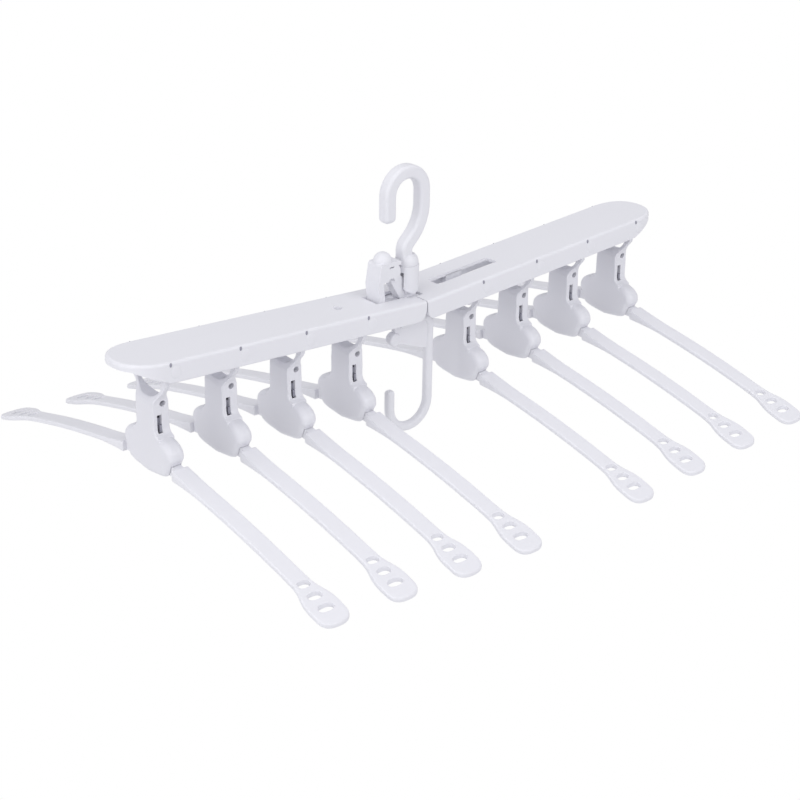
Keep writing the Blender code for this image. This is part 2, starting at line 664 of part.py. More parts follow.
def latch_lever():
    """Lever left of the yoke: thumb dome on top, toe in the left wing's notch."""
    outline = [(-LATCH_OUT_NEAR, LATCH_LOW), (-LATCH_OUT_NEAR, LATCH_ROOF_LOW),
               (-LATCH_ROOF_END, LATCH_ROOF_LOW), (-LATCH_ROOF_END, LATCH_HIGH - OVERRUN),
               (-LATCH_ROOF_END - OVERRUN, LATCH_HIGH), (-LATCH_OUT_FAR + OVERRUN * 2, LATCH_HIGH),
               (-LATCH_OUT_FAR, LATCH_HIGH - OVERRUN * 2), (-LATCH_FOOT_OUT, LATCH_FOOT_LOW),
               (-LATCH_FOOT_OUT + LATCH_FOOT_WIDTH, LATCH_FOOT_LOW),
               (-LATCH_OUT_FAR + LATCH_FOOT_WIDTH, LATCH_LOW)]
    wide = LATCH_FORK_OUTER
    lever = prism("latch_lever", "y", outline, -wide, wide)
    eye = LATCH_EYE_RADIUS
    for across in (-1, 1):
        faces = sorted((across * (LATCH_LUG_HALF + GAP), across * wide))
        cheek = [(-LATCH_OUT_NEAR - OVERRUN, LATCH_PIVOT - eye), (-LATCH_PIVOT_OUT, LATCH_PIVOT - eye)]
        cheek += arc((-LATCH_PIVOT_OUT, LATCH_PIVOT), LATCH_PIVOT_OUT - LATCH_FORK_END, -80, 80, 5)
        cheek += [(-LATCH_PIVOT_OUT, LATCH_PIVOT + eye), (-LATCH_OUT_NEAR - OVERRUN, LATCH_PIVOT + eye)]
        join(lever, prism("cheek", "y", cheek, faces[0], faces[1]))
    dome = []
    for k in range(5):
        a = math.radians(90 * k / 5)
        dome.append((LATCH_DOME_RADIUS * math.cos(a), LATCH_HIGH + LATCH_DOME_RISE * math.sin(a)))
    dome.insert(0, (LATCH_DOME_RADIUS, LATCH_HIGH - OVERRUN))
    dome = turned("dome", dome, 16)
    for vertex in dome.data.vertices:
        vertex.co.x -= LATCH_DOME_OUT * MM
    join(lever, dome)
    cut(lever, rod("pin_bore", "y", (-LATCH_PIVOT_OUT, LATCH_PIVOT), LATCH_PIN_RADIUS + RUNNING_GAP,
                   -wide - OVERRUN, wide + OVERRUN, 8))
    return clean(lever)


def hook_path():
    """Centreline of the upper hook: lean out, return upright, round the loop, down to the tip."""
    lean = math.radians(HOOK_LEAN_DEG)
    side_step = (HOOK_LEAN_RADIUS + HOOK_RETURN_RADIUS) * (1 - math.cos(lean))
    ramp = (HOOK_LOOP_RADIUS - side_step) / math.sin(lean)
    rise = (HOOK_LEAN_RADIUS + HOOK_RETURN_RADIUS) * math.sin(lean) + ramp * math.cos(lean)
    start = HOOK_LOOP_CENTRE - rise - HOOK_BAR_WIDE
    path = [(0.0, COLLAR_TOP - COLLAR_CROWN, 1.0)]
    for k in range(4):
        a = lean * k / 3
        path.append((HOOK_LEAN_RADIUS * (1 - math.cos(a)), start + HOOK_LEAN_RADIUS * math.sin(a), 1.0))
    for k in range(6):
        a = lean * (1 - k / 5)
        path.append((HOOK_LOOP_RADIUS - HOOK_RETURN_RADIUS * (1 - math.cos(a)),
                     start + rise - HOOK_RETURN_RADIUS * math.sin(a), 1.0))
    for k in range(15):
        a = math.pi * k / 14
        path.append((HOOK_LOOP_RADIUS * math.cos(a), HOOK_LOOP_CENTRE + HOOK_LOOP_RADIUS * math.sin(a), 1.0))
    path.append((-HOOK_LOOP_RADIUS, HOOK_LOOP_CENTRE - HOOK_TIP_DROP, 1.0))
    path.append((-HOOK_LOOP_RADIUS, HOOK_LOOP_CENTRE - HOOK_TIP_DROP - HOOK_BAR_THICK * 0.25, 0.9))
    path.append((-HOOK_LOOP_RADIUS, HOOK_LOOP_CENTRE - HOOK_TIP_DROP - HOOK_BAR_THICK * 0.42, 0.55))
    return path


def upper_hook():
    hook = swept("upper_hook", hook_path(), HOOK_BAR_THICK, HOOK_BAR_WIDE, HOOK_CORNER_SHARE)
    rivet = turned("rivet", [(RIVET_HEAD_RADIUS, YOKE_GAP_TOP + RUNNING_GAP),
                             (RIVET_HEAD_RADIUS, YOKE_GAP_TOP + RUNNING_GAP + RIVET_HEAD_HEIGHT),
                             (RIVET_RADIUS, YOKE_GAP_TOP + RUNNING_GAP + RIVET_HEAD_HEIGHT + GAP / 2),
                             (RIVET_RADIUS, COLLAR_TOP)], 12)
    crown = COLLAR_CROWN
    base = YOKE_TOP + GAP
    profile = [(COLLAR_RADIUS, base)]
    for k in range(4):
        a = math.radians(75 * k / 3)
        inward = COLLAR_RADIUS - crown * 0.75 * (1 - math.cos(a))
        profile.append((inward, COLLAR_TOP - crown + crown * math.sin(a)))
    collar = turned("collar", profile, COLLAR_STEPS)
    join(hook, collar, rivet)
    return clean(hook)


def lower_hook():
    """C-shaped second hook with a beak above its tip, on a swivel plate."""
    plate_top = -HUB_BOTTOM_DROP - GAP
    plate_low = plate_top - LOWER_PLATE_HEIGHT
    bar_mid = plate_low - LOWER_BAR / 2 + OVERRUN
    stem = LOWER_LOOP_OFFSET + LOWER_LOOP_RADIUS
    bend = LOWER_BAR
    path = [(-LOWER_BAR, bar_mid, 1.0), (stem - bend, bar_mid, 1.0)]
    for k in range(1, 4):
        a = math.radians(90 - 30 * k)
        path.append((stem - bend + bend * math.cos(a), bar_mid - bend + bend * math.sin(a), 1.0))
    for k in range(15):
        a = math.pi * k / 14
        path.append((LOWER_LOOP_OFFSET + LOWER_LOOP_RADIUS * math.cos(a),
                     -LOWER_LOOP_DROP - LOWER_LOOP_RADIUS * math.sin(a), 1.0))
    tip = LOWER_LOOP_OFFSET - LOWER_LOOP_RADIUS
    tip_z = -LOWER_LOOP_DROP + LOWER_TIP_RISE
    path += [(tip, tip_z, 1.0), (tip, tip_z + LOWER_BAR * 0.25, 0.9), (tip, tip_z + LOWER_BAR * 0.42, 0.55)]
    hook = swept("lower_hook", path, LOWER_BAR, LOWER_BAR, HOOK_CORNER_SHARE)
    web = [(-LOWER_BEAK_OUT, plate_low), (stem, bar_mid), (stem, -LOWER_WEB_DROP),
           (-LOWER_BEAK_OUT + LOWER_BEAK_RADIUS, -LOWER_BEAK_DROP - LOWER_BEAK_RADIUS * 0.9),
           (-LOWER_BEAK_OUT, -LOWER_BEAK_DROP)]
    join(hook,
         prism("web", "y", web, -LOWER_WEB_HALF, LOWER_WEB_HALF),
         rod("beak", "y", (-LOWER_BEAK_OUT, -LOWER_BEAK_DROP), LOWER_BEAK_RADIUS,
             -LOWER_BAR / 2, LOWER_BAR / 2, 16),
         rod("plate", "z", (0, 0), LOWER_PLATE_RADIUS, plate_low, plate_top, 20),
         rod("stud", "z", (0, 0), LOWER_STUD_RADIUS, plate_top - OVERRUN,
             -HUB_BOTTOM_DROP + LOWER_STUD_HEIGHT - GAP, 12))
    return clean(hook)


def pin(name, centre, radius, half):
    obj = rod(name, "y", centre, radius, -half, half, 12)
    return clean(obj)


def copy_of(source, name, parent, place):
    """A further object on the same mesh, set at a place in millimetres."""
    obj = bpy.data.objects.new(name, source.data)
    bpy.context.scene.collection.objects.link(obj)
    obj.parent = parent
    obj.location = Vector(place) * MM
    return obj


def main():
    clear_scene()
    white = material("beam_white", WHITE, 0.42, 0.0)
    shell_white = material("shell_white", SHELL_WHITE, 0.45, 0.0)
    arm_white = material("arm_white", ARM_WHITE, 0.42, 0.0)
    steel = material("pin_steel", PIN_STEEL, 0.35, 0.9)

    frame = bpy.data.objects.new("hanging_frame", None)
    frame.location = Vector((0, 0, -HOOK_APEX_Z)) * MM
    bpy.context.scene.collection.objects.link(frame)

    for piece in (upper_hook(), hook_yoke(), hub_body(), latch_lever(), lower_hook()):
        finish(piece, white, frame)
    pins = (pin("yoke_pin", (0, YOKE_PIVOT), YOKE_PIN_RADIUS, YOKE_PIN_HALF),
            pin("left_hinge_pin", (-HINGE_X, HINGE_Z), HINGE_PIN_RADIUS, FLANGE_INNER + TRUNNION_REACH),
            pin("right_hinge_pin", (HINGE_X, HINGE_Z), HINGE_PIN_RADIUS, FLANGE_INNER + TRUNNION_REACH),
            pin("latch_pin", (-LATCH_PIVOT_OUT, LATCH_PIVOT), LATCH_PIN_RADIUS,
                LATCH_FORK_OUTER - GAP))
    for piece in pins:
        finish(piece, steel, frame)

    for name, side in (("left_wing", -1), ("right_wing", 1)):
        piece = finish(wing(name, side), white, frame)
        piece.location = Vector((side * HINGE_X, 0, HINGE_Z)) * MM
        piece.rotation_euler = (0, -side * RISE, 0)

    sources = {"left_shell": finish(shell("left_shell", -1), shell_white, frame),
               "right_shell": finish(shell("right_shell", 1), shell_white, frame),
               "near_arm": finish(arm("near_arm", -1), arm_white, frame),
               "far_arm": finish(arm("far_arm", 1), arm_white, frame),
               "lock_slider": finish(slider("lock_slider"), white, frame)}
    offsets = {"near_arm": (0, -ARM_PIVOT_OUT, -ARM_PIVOT_DROP),
               "far_arm": (0, ARM_PIVOT_OUT, -ARM_PIVOT_DROP)}
    number = 0
    for side in (-1, 1):
        steps = range(UNITS_PER_WING, 0, -1) if side < 0 else range(1, UNITS_PER_WING + 1)
        for step in steps:
            number += 1
            out = step * UNIT_PITCH
            x = side * (out * math.cos(RISE) + TRUNNION_DROP * math.sin(RISE))
            z = out * math.sin(RISE) - TRUNNION_DROP * math.cos(RISE)
            for kind, source in sources.items():
                dx, dy, dz = offsets.get(kind, (0, 0, 0))
                copy_of(source, f"{kind}_{number}", frame, (x + dx, dy, z + dz))
    for source in sources.values():
        bpy.data.objects.remove(source, do_unlink=True)


main()
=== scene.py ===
"""Finished pieces for a tiered folding clothes hanger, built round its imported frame."""
import json
import math
from contextlib import contextmanager
from types import SimpleNamespace

import bpy
import bmesh
from bpy.props import FloatProperty, FloatVectorProperty, IntProperty, PointerProperty
from mathutils import Matrix, Vector


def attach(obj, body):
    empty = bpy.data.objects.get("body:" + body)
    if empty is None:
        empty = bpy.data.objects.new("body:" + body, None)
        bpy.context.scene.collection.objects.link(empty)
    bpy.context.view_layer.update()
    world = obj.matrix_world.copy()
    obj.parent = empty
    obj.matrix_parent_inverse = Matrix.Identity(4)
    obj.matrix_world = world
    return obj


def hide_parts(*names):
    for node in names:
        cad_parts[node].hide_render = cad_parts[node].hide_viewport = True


bl_info = {
    "name": "Tiered hanger",
    "version": (1, 0, 0),
    "blender": (4, 5, 0),
    "location": "View3D > Sidebar > Hanger",
    "description": "Builds the finished pieces of a tiered folding hanger round its packed frame",
    "category": "Add Mesh",
}

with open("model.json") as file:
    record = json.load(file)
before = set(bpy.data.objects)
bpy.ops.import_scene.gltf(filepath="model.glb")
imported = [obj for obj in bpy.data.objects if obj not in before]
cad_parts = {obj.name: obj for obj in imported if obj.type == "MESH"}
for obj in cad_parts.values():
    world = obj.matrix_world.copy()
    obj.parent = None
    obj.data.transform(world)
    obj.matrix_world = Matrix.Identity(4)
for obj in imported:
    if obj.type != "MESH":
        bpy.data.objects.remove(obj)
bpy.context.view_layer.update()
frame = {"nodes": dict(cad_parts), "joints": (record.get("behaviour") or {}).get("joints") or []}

MM = 0.001
JOINTS = {joint["name"]: joint for joint in frame["joints"]}
UNIT_COUNT = sum(name.startswith("unit_tilt_") for name in JOINTS)
UNITS_PER_WING = UNIT_COUNT // 2
OVERRUN = 1.0
GAP = 0.3
SPLIT_GAP = 0.02
RUNNING_GAP = 0.35
WELD = 0.0005

# Steps of an arc or a curve, and facets of a full turn
FORK_STEPS = 5
CORNER_STEPS = 6
BULGE_STEPS = 6
FILLET_STEPS = 8
ARM_STEPS = 8
DOME_STEPS = 12
HINGE_EYE_STEPS = 14
EYE_STEPS = 24
PIN_FACETS = 20
BORE_FACETS = 24
VENT_FACETS = 36
DOME_FACETS = 48
COLUMN_FACETS = 64

# Angles between faces from which an edge is sharp
SHADE_DEG = 32
SHARP_DEG = 40
WIDE_DEG = 50
RIM_DEG = 60

# Wing details
WING_TOP = 2.0
WING_WALL = 2.4
WING_LIP_SHARE = 0.3
WING_SOFT_EDGE = 0.28
WING_NOSE_POWER = 2.3
HOLLOW_NOSE_POWER = 3.0
WING_NOSE_STEPS = 26
WING_ROUND_STEPS = 8
NOSE_LIP = 4.0
NOSE_LIP_RUN = 4.0
NOSE_SLOPE_RUN = 25.0
PLATE_START = 5.8
TAB_INNER = 9.4
NOTCH_END = 30.0
NOTCH_HALF = 7.2
VENT_RADIUS = 2.9
VENT_PLACE = 54.5
NEST_START = 22.2
NEST_END = 73.4
NEST_HALF = 4.9
NEST_CORNER = 1.8
CRADLE_START = 38.0
CRADLE_END = 51.0
CRADLE_RADIUS = 35.3
CRADLE_CENTRE = 49.0
CRADLE_CENTRE_RISE = 25.7
CRADLE_WALL = 0.7
CRADLE_STEPS = 14

# Hinge and trunnion fits
HINGE_OUT = 7.5
HINGE_DROP = 6.0
HINGE_PIN_RADIUS = 2.0
KNUCKLE_RADIUS = 7.2
KNUCKLE_STEPS = 14
WING_INNER_END = HINGE_OUT - KNUCKLE_RADIUS
TRUNNION_DROP = 6.2
TRUNNION_RADIUS = 2.2
TRUNNION_SEAT = 1.8
TRUNNION_REACH = 1.5
TRUNNION_OVERRUN = 0.8

# Marks on the flanges, one set at each trunnion
MARK_DROP = 1.7
MARK_RADIUS = 1.3
MARK_SHARES = (0.62, 0.42, 1.0)
SWELLING_DROP = 6.4
SWELLING_RADIUS = 3.3
SWELLING_SHARES = (1.0, 0.1, 1.15)
SWELLING_SHIFT = 3.6
FLANGE_MARKS = (("marks", "mark_and_painted_shade", MARK_DROP, MARK_RADIUS, MARK_SHARES, 0.0),
                ("swellings", "beam_white", SWELLING_DROP, SWELLING_RADIUS, SWELLING_SHARES,
                 SWELLING_SHIFT))

# Small hanger body, with drops below its trunnion axis
SHELL_WALL = 2.2
EAR_HALF = 1.6
EAR_THIN_DROP = 13.5
EAR_THICK_DROP = 22.5
EAR_SLICES = 9
EAR_OUTER = 16.8
EAR_INNER = 12.6
EAR_TOP = 2.8
EAR_CORNER_SHARE = 0.45
EAR_SIDE_SHARE = 0.6
EAR_TUCK_SHARE = 0.2
NOTCH_CENTRE_DROP = 6.0
NOTCH_DEPTH = 12.8
NOTCH_SQUARE = 0.9
NOTCH_STEPS = 14
NECK_TOP_DROP = 21.0
NECK_FILLET = 5.0
NECK_FILLET_END_DEG = 262
BROW_SHARE = 0.4
NECK_ROOT_SHARES = (0.9, 1.8)
EAR_SHOULDER_DROP = 9.5
SHOULDER_DROP = 38.6
BULGE_TOP_DROP = 44.4
BULGE_SIDE_DROP = 52.8
MOUTH_TOP_DROP = 55.6
MOUTH_TOP_HALF = 21.6
MOUTH_LOW_DROP = 61.9
MOUTH_LOW_HALF = 18.8
MOUTH_BACK_SHARE = 0.3
BELLY_DROP = 66.3
BELLY_HALF = 10.0
BELLY_BOW = 0.2
BELLY_RISE = 0.8
BELLY_FLAT_SHARE = 0.7
WINDOW_TOP_DROP = 28.8
WINDOW_LOW_DROP = 41.8
WINDOW_HALF = 1.5
WINDOW_SHIFT = -1.4
EYELET_DROP = 22.5
EYELET_SHIFT = 1.2
EYELET_RADIUS = 1.9
EYELET_DEPTH = 8.0
CAVITY_TOP_DROP = 25.0

# Shoulder line of the round part: shares of its half width, of its rise and of the inset
SHOULDER_START_SHARE = 0.42
SHOULDER_SHARES = ((0.66, 0.66, 1.0), (0.83, 0.96, 0.8), (0.96, 1.46, 0.3))
BULGE_SIDE_SHARES = (0.985, 0.4)
MOUTH_INSET_SHARE = 0.7

# Arms
ARM_PIVOT_OUT = 17.6
ARM_PIVOT_DROP = 58.5
ARM_PIN_RADIUS = 1.7
ARM_EYE_RADIUS = 3.3
ARM_EYE_STEPS = 14
ARM_TONGUE_HALF = 2.9
ARM_ROOT_START = 6.6
ARM_ROOT_HEIGHT = 7.0
ARM_ROOT_TAPER = 26.0
ARM_TAPER_POWER = 1.5
ARM_START_SLOPE = 0.1225
ARM_SLICE = 4.0
PADDLE_LENGTH = 37.0
PADDLE_SHARES = ((0.24, 0.16), (0.46, 0.78), (0.62, 1.0), (0.80, 0.98))
PADDLE_TIP_POWERS = (0.75, 0.9)
PADDLE_TIP_STEPS = 16
PADDLE_HOLES = 3
PADDLE_HOLE_PITCH = 9.2
PADDLE_HOLE_INSET = 11.3
PADDLE_HOLE_HALF = 5.0
PADDLE_HOLE_SHRINK = 0.6
PADDLE_HOLE_DEPTH = 2.5
PADDLE_HOLE_POWER = 0.8
PADDLE_HOLE_STEPS = 28
HOLE_SOFT_EDGE = 0.4

# Hub, column and latch, with heights above the wings' top line
HUB_HALF_LENGTH = 8.4
HUB_HALF_WIDTH = 14.4
HUB_TOP_DROP = 0.9
HUB_FLAT_DROP = 2.4
HUB_PEDESTAL_HALF = 9.0
HUB_BOTTOM_DROP = 14.4
HUB_EYE_RADIUS = 3.7
HUB_EYE_START_DEG = -45
HUB_SHOULDER = 5.2
HUB_CORNER_SHARE = 0.3
HUB_SOFT_EDGE = 0.3
TONGUE_HALF = 4.6
TONGUE_RADIUS = 4.0
FORK_GAP = 0.08
YOKE_PIVOT = 9.5
YOKE_RADIUS = 7.8
YOKE_TOP = 19.0
YOKE_GAP_TOP = 15.4
YOKE_PIN_RADIUS = 2.0
YOKE_PIN_HALF = 7.0
LATCH_LUG_HALF = 3.4
LATCH_LUG_END_DEG = 210
LATCH_PIVOT_OUT = 15.5
LATCH_PIVOT = 18.0
LATCH_EYE_RADIUS = 3.4
LATCH_PIN_RADIUS = 1.5
LATCH_PIN_HALF = 5.9
LATCH_FORK_OUTER = 6.2
LATCH_FORK_END = 10.0
LATCH_FORK_TURN_DEG = 80
LATCH_OUT_NEAR = 18.9
LATCH_OUT_FAR = 27.6
LATCH_LOW = 13.0
LATCH_HIGH = 25.0
LATCH_LEAN = 2.0
LATCH_CORNER = 1.8
LATCH_CORNER_END_DEG = 175
LATCH_ROOF_LOW = 22.2
LATCH_ROOF_END = 9.6
LATCH_FOOT_OUT = 25.8
LATCH_FOOT_LOW = -1.0
LATCH_FOOT_WIDTH = 4.0
LATCH_DOME_OUT = 19.4
LATCH_DOME_RADIUS = 5.8
LATCH_DOME_RISE = 5.8
LATCH_DOME_END_DEG = 87
LATCH_SOFT_EDGE = 0.5
RIVET_RADIUS = 2.2
RIVET_HEAD_RADIUS = 3.6
RIVET_HEAD_HEIGHT = 1.4

# Hooks
LOOP_STEPS = 40
LEAN_STEPS = 8
RETURN_STEPS = 14
HOOK_TIP_DROP = 12.5
HOOK_CORNER = 2.1
HOOK_SHIFT = -2.2
HOOK_LEAN_DEG = 45.0
HOOK_LEAN_RADIUS = 6.0
HOOK_RETURN_RADIUS = 28.0
TIP_DOME_SHARE = 0.42
TIP_LEAST_SHARE = 0.05
TIP_POWER = 0.7
TIP_END_DEG = 87.5
TIP_STEPS = 7
COLLAR_TOP = 25.8
COLLAR_CROWN = 5.6
COLLAR_CROWN_SHARE = 0.75
COLLAR_CROWN_END_DEG = 75
LOWER_PLATE_RADIUS = 7.0
LOWER_PLATE_HEIGHT = 3.2
LOWER_STUD_RADIUS = 2.4
LOWER_STUD_HEIGHT = 4.6
LOWER_LOOP_OFFSET = 3.4
LOWER_LOOP_DROP = 75.6
LOWER_TIP_RISE = 10.5
LOWER_CORNER_SHARE = 0.36
LOWER_WEB_HALF = 1.6
LOWER_WEB_DROP = 42.0
LOWER_WEB_SHARE = 0.9
LOWER_BEAK_OUT = 10.0
LOWER_BEAK_DROP = 28.6
LOWER_BEAK_RADIUS = 4.4
LOWER_BEAK_STEPS = 40
LOWER_BEAK_ROUND_SHARE = 0.4

# Finishes
PLASTIC_IOR = 1.49
COAT = 0.12
COAT_ROUGHNESS = 0.3
CLOUD_AMOUNT = 0.3
CLOUD_SHARES = {"white": 0.93, "body": 0.92, "shade": 0.8, "steel": 0.8}
GRAIN_HEIGHT = 0.2
ARM_EXTRA_ROUGHNESS = 0.03
MARK_ROUGHNESS = 0.6
PIN_ROUGHNESS = 0.3
PIN_GRAIN = 0.1
PIN_CLOUD_AMOUNT = 0.5

# Camera at the photograph's viewpoint, lamps and floor, in metres of the frame
CAMERA_PLACE = (-0.6756, -0.7558, 0.31945)
CAMERA_AZIMUTH_DEG = -41.64
CAMERA_ELEVATION_DEG = 24.70
CAMERA_ROLL_DEG = 0.84
CAMERA_LENS = 79.34
CAMERA_SENSOR = 36
CAMERA_NEAR = 0.01
CAMERA_FAR = 30
FLOOR_DROP = 1.15
FLOOR_SIZE = 6.0
FLOOR_THICKNESS = 0.02
FLOOR_COLOUR = (0.86, 0.86, 0.87, 1)
FLOOR_ROUGHNESS = 0.8
WHITE = (1, 1, 1, 1)
WORLD_COLOUR = (0.97, 0.97, 1.0, 1)
WORLD_STRENGTH = 0.6
LAMP_TARGET = (0, 0, -0.1)
LAMPS = (("camera_side_lamp", (-1.5, -0.9, 0.6), 1.5, 4.7),
         ("front_lamp", (0.3, -1.7, 0.8), 1.5, 11.2),
         ("top_lamp", (-0.2, 0.2, 1.9), 1.8, 8.5),
         ("end_lamp", (-1.8, 0.2, 0.4), 1.5, 8.5))


def beam_top():
    """Height of the wings' top line at the centre, in the frame's millimetres."""
    return JOINTS["hook_fold"]["pos_m"][2] / MM - YOKE_PIVOT


# Settings

def length(name, description, size):
    """A length setting whose default is in millimetres."""
    return FloatProperty(name=name, description=description, default=size * MM, unit="LENGTH")


def tint(name, description, value):
    """A colour setting."""
    return FloatVectorProperty(name=name, description=description, default=value,
                               subtype="COLOR", min=0, max=1)


class BeamSettings(bpy.types.PropertyGroup):
    """Sizes of the two wings."""
    rise: FloatProperty(name="Rise", description="Angle of each wing above level",
                        default=math.radians(3.5), subtype="ANGLE")
    half_width: length("Half width", "Half of a wing's width", 20)
    depth: length("Depth", "Height of a wing's flange", 12.8)
    edge: length("Edge", "Rounding of the top edge", 1.8)
    straight: length("Straight", "Centre to the start of the rounded end", 188)
    nose: length("Nose", "Length of the rounded end", 25)
    pitch: length("Pitch", "Spacing of the small hangers", 47)


class BodySettings(bpy.types.PropertyGroup):
    """Sizes of a small hanger's body."""
    half_thick: length("Half thickness", "Half of the body's thickness", 5.5)
    neck_half: length("Neck half width", "Half of the neck's width", 8.8)
    bulge_half: length("Bulge half width", "Half of the round part's width", 23.6)
    neck_round: length("Neck rounding", "Edge radius of the neck", 2)
    bulge_round: length("Bulge rounding", "Edge radius of the round part", 4.5)


class ArmSettings(bpy.types.PropertyGroup):
    """Sizes of an arm."""
    span: length("Span", "Middle of the hanger to the arm's tip", 164.2)
    half_width: length("Half width", "Half of the ribbon's width", 5.75)
    paddle_half: length("Paddle half width", "Half of the paddle's width", 10)
    thickness: length("Thickness", "Thickness of the ribbon", 3)
    curve_drop: length("Curve drop", "How far the tip bends down", 13.9)
    edge: length("Edge", "Rounding of the ribbon's edges", 1)


class HookSettings(bpy.types.PropertyGroup):
    """Sizes of both hooks."""
    loop_radius: length("Loop radius", "Radius of the upper hook's middle line", 13.65)
    loop_centre: length("Loop height", "Loop's middle above the beam", 64.3)
    thick: length("Thickness", "Bar size in the hook's plane", 8.4)
    wide: length("Width", "Bar size across the hook's plane", 8.4)
    collar: length("Collar radius", "Radius of the swivel collar", 7.4)
    lower_bar: length("Lower bar", "Bar size of the lower hook", 5.6)
    lower_loop: length("Lower loop radius", "Radius of the lower hook's loop", 15.9)


class FinishSettings(bpy.types.PropertyGroup):
    """Colours and surface of the mouldings."""
    white: tint("White", "Colour of the beam, hooks and arms", (0.80, 0.80, 0.845))
    body_white: tint("Body white", "Colour of the small hangers' bodies", (0.77, 0.77, 0.82))
    # Dark grey: the mould marks' own colour, and on the lock sliders painted shade that darkens the windows
    # over them.
    shade: tint("Shade", "Colour of the mould marks and the lock sliders", (0.30, 0.30, 0.36))
    steel: tint("Steel", "Colour of the hinge pins", (0.62, 0.63, 0.65))
    roughness: FloatProperty(name="Roughness", description="Roughness of the mouldings",
                             default=0.42, min=0, max=1)
    grain: FloatProperty(name="Grain", description="Depth of the moulded grain",
                         default=0.05, min=0, max=1)
    mark_count: IntProperty(name="Marks", description="Mould marks along each flange",
                            default=UNITS_PER_WING, min=1)


SETTINGS = {"hanger_beam": BeamSettings, "hanger_body": BodySettings, "hanger_arm": ArmSettings,
            "hanger_hook": HookSettings, "hanger_finish": FinishSettings}


def in_mm(group):
    """A settings group's lengths in millimetres, with its other values as they are."""
    values = {}
    for prop in group.bl_rna.properties:
        if prop.identifier in ("rna_type", "name"):
            continue
        value = getattr(group, prop.identifier)
        values[prop.identifier] = value / MM if getattr(prop, "unit", "") == "LENGTH" else value
    return SimpleNamespace(**values)


# Outlines

def arc(centre, radius, start_deg, end_deg, steps):
    """Points along an arc, both ends included."""
    points = []
    for k in range(steps + 1):
        a = math.radians(start_deg + (end_deg - start_deg) * k / steps)
        points.append((centre[0] + radius * math.cos(a), centre[1] + radius * math.sin(a)))
    return points


def smooth_line(points, steps):
    """A Catmull-Rom curve through the points, both ends included."""
    line = []
    for k in range(len(points) - 1):
        p0 = Vector(points[max(k - 1, 0)])
        p1, p2 = Vector(points[k]), Vector(points[k + 1])
        p3 = Vector(points[min(k + 2, len(points) - 1)])
        for i in range(steps):
            t = i / steps
            line.append(tuple(0.5 * ((2 * p1) + (p2 - p0) * t + (2 * p0 - 5 * p1 + 4 * p2 - p3) * t ** 2
                                     + (3 * p1 - p0 - 3 * p2 + p3) * t ** 3)))
    line.append(tuple(points[-1]))
    return line


def mirrored_x(outline):
    return [(-u, v) for u, v in reversed(outline)]


def on_side(outline, side):
    """An outline drawn for the right side, for either side."""
    return outline if side > 0 else mirrored_x(outline)


def both_sides(half):
    """A closed outline from its right half, top to bottom."""
    return half + [(-u, v) for u, v in reversed(half) if abs(u) > WELD]


def span(side, near, far):
    """Two places on one side of the middle, in rising order."""
    return sorted((side * near, side * far))


# Meshes

def linked(name, data):
    """A new object in the scene."""
    obj = bpy.data.objects.new(name, data)
    bpy.context.scene.collection.objects.link(obj)
    return obj


@contextmanager
def edited(mesh):
    """A mesh's contents to edit, written back at the end."""
    bm = bmesh.new()
    bm.from_mesh(mesh)
    yield bm
    bm.to_mesh(mesh)
    bm.free()


def object_from(name, vertices, faces):
    """A linked object from points in millimetres."""
    mesh = bpy.data.meshes.new(name)
    mesh.from_pydata([Vector(v) * MM for v in vertices], [], faces)
    mesh.validate()
    with edited(mesh) as bm:
        bmesh.ops.recalc_face_normals(bm, faces=bm.faces)
    return linked(name, mesh)


def point_on(axis, along, u, v):
    if axis == "x":
        return (along, u, v)
    if axis == "y":
        return (u, along, v)
    return (u, v, along)


def layered(name, axis, layers):
    """A closed solid through (place, outline) layers of equal point counts along an axis."""
    count = len(layers[0][1])
    vertices = [point_on(axis, along, u, v) for along, outline in layers for u, v in outline]
    last = len(vertices) - count
    faces = [tuple(range(count)), tuple(range(last, last + count))]
    for start in range(0, last, count):
        for i in range(count):
            j = (i + 1) % count
            faces.append((start + i, start + j, start + count + j, start + count + i))
    return object_from(name, vertices, faces)


def prism(name, axis, outline, low, high):
    return layered(name, axis, [(low, outline), (high, outline)])


def block(name, x_range, y_range, z_range):
    (x0, x1), (y0, y1) = x_range, y_range
    return prism(name, "z", [(x0, y0), (x1, y0), (x1, y1), (x0, y1)], *z_range)


def rod(name, axis, centre, radius, low, high, steps=BORE_FACETS):
    return prism(name, axis, arc(centre, radius, 0, 360, steps)[:-1], low, high)


def turned(name, profile, steps=COLUMN_FACETS):
    """A solid of revolution about Z from (radius, height) points."""
    return layered(name, "z", [(z, arc((0, 0), r, 0, 360, steps)[:-1]) for r, z in profile])


def evaluated_mesh(obj):
    """An object's mesh with its modifiers applied."""
    graph = bpy.context.evaluated_depsgraph_get()
    return bpy.data.meshes.new_from_object(obj.evaluated_get(graph))


def swap_mesh(obj, mesh):
    """Gives an object a new mesh in place of its old one and its modifiers."""
    obj.modifiers.clear()
    old = obj.data
    obj.data = mesh
    if old.users == 0:
        bpy.data.meshes.remove(old)
    return obj


def combine(target, others, operation):
    """Booleans each other object into the target."""
    for other in others:
        modifier = target.modifiers.new("combine", "BOOLEAN")
        modifier.operation = operation
        modifier.solver = "EXACT"
        modifier.object = other
        swap_mesh(target, evaluated_mesh(target))
        bpy.data.objects.remove(other, do_unlink=True)
    return target


def join(target, *others):
    return combine(target, others, "UNION")


def cut(target, *others):
    return combine(target, others, "DIFFERENCE")


def tidy(obj):
    """Merges the slivers that Booleans leave."""
    with edited(obj.data) as bm:
        bmesh.ops.remove_doubles(bm, verts=bm.verts, dist=WELD * MM)
        bmesh.ops.dissolve_degenerate(bm, dist=WELD * MM, edges=bm.edges)
        bmesh.ops.triangulate(bm, faces=[f for f in bm.faces if len(f.verts) > 4])
    return obj


